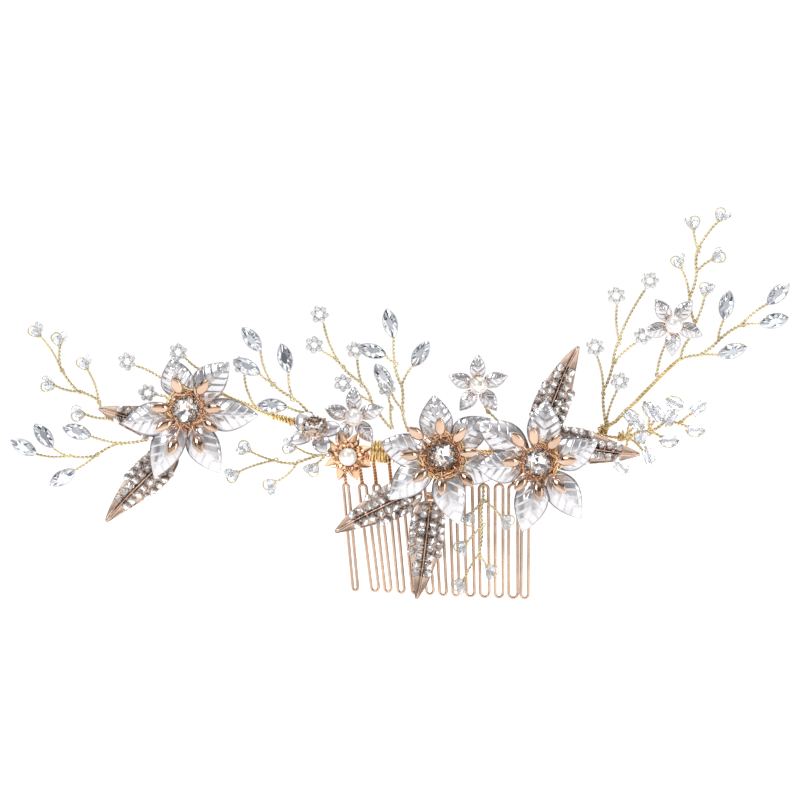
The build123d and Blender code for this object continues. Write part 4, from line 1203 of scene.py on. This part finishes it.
for node, metal in (("comb_teeth", TOOTH_WIRE), ("comb_top_bar", COPPER)):
    for slot in frame["nodes"][node].material_slots:
        slot.material = metal

# ---------------------------------------------------------------- studio

FLOOR_SPAN, FLOOR_GAP = 6.0, 0.06
floor_mesh = bpy.data.meshes.new("floor")
drop = CAD_BOX[0][2] - FLOOR_GAP
floor_mesh.from_pydata([(FLOOR_SPAN * x, FLOOR_SPAN * y, drop) for x, y in ((-1, -1), (1, -1), (1, 1), (-1, 1))], [],
                       [(0, 1, 2, 3)])
floor = bpy.data.objects.new("floor", floor_mesh)
bpy.context.scene.collection.objects.link(floor)
pale = Look("floor_white", (0.9, 0.9, 0.9), roughness=0.9)
floor_mesh.materials.append(pale.done({"Emission Color": (1, 1, 1), "Emission Strength": 0.6}))


def greys(stops):
    """Colour stops from (place, brightness); the darker ones are a touch blue."""
    return [(place, (v, v, v + 0.02 if v < 0.82 else v)) for place, v in stops]


world = bpy.data.worlds.new("studio")
bpy.context.scene.world = world
world.use_nodes = True
room = Nodes(world.node_tree)
generated = room.step("TexCoord", "Generated", {})
east, depth, high = (room.step("SeparateXYZ", axis, {"Vector": generated}) for axis in "XYZ")
height = room.step("MapRange", "Result", {"Value": high, "From Min": -1, "From Max": 1})
sideways = room.step("MapRange", "Result", {"Value": east, "From Min": -1, "From Max": 1})
front = room.step("MapRange", "Result", {"Value": depth, "From Min": -0.25, "From Max": -0.45},
                  interpolation_type="SMOOTHSTEP")
sky = room.ramp(height, greys([(0.0, 0.95), (0.615, 1.04), (0.665, 0.8), (0.73, 0.16), (0.83, 0.25), (0.9, 0.95),
                               (1.0, 1.0)]))
strips = room.ramp(sideways, greys([(0.05, 0.95), (0.09, 0.1), (0.15, 0.1), (0.19, 0.9), (0.40, 0.85), (0.46, 0.6),
                                    (0.54, 0.6), (0.6, 0.85), (0.79, 0.9), (0.83, 0.12), (0.9, 0.12), (0.94, 0.95)]))
room.feed(room.nodes["Background"], {"Color": room.mixed(front, sky, strips, "MULTIPLY"), "Strength": 1.0})

for name, place, size, power in (("key", (-0.55, -0.75, 0.75), (0.5, 0.5), 4.5),
                                 ("fill", (0.8, -0.55, 0.25), (0.3, 0.6), 1.6),
                                 ("top", (0.1, 0.1, 0.9), (0.7, 0.4), 2.2),
                                 ("back", (0.3, 0.8, 0.5), (0.6, 0.5), 2.0)):
    light = bpy.data.lights.new(name, "AREA")
    light.shape = "RECTANGLE"
    light.size, light.size_y = size
    light.energy = power
    lamp = bpy.data.objects.new(name, light)
    lamp.location = place
    lamp.rotation_euler = (-Vector(place)).to_track_quat("-Z", "Y").to_euler()
    bpy.context.scene.collection.objects.link(lamp)

camera_data = bpy.data.cameras.new("camera")
camera_data.lens = 100
camera_data.sensor_width = 36
camera = bpy.data.objects.new("camera", camera_data)
camera.location = (-0.0131, -0.775, 0.0200)
camera.rotation_euler = (math.radians(90), 0, 0)
bpy.context.scene.collection.objects.link(camera)
bpy.context.scene.camera = camera
bpy.context.scene.view_settings.view_transform = "Standard"
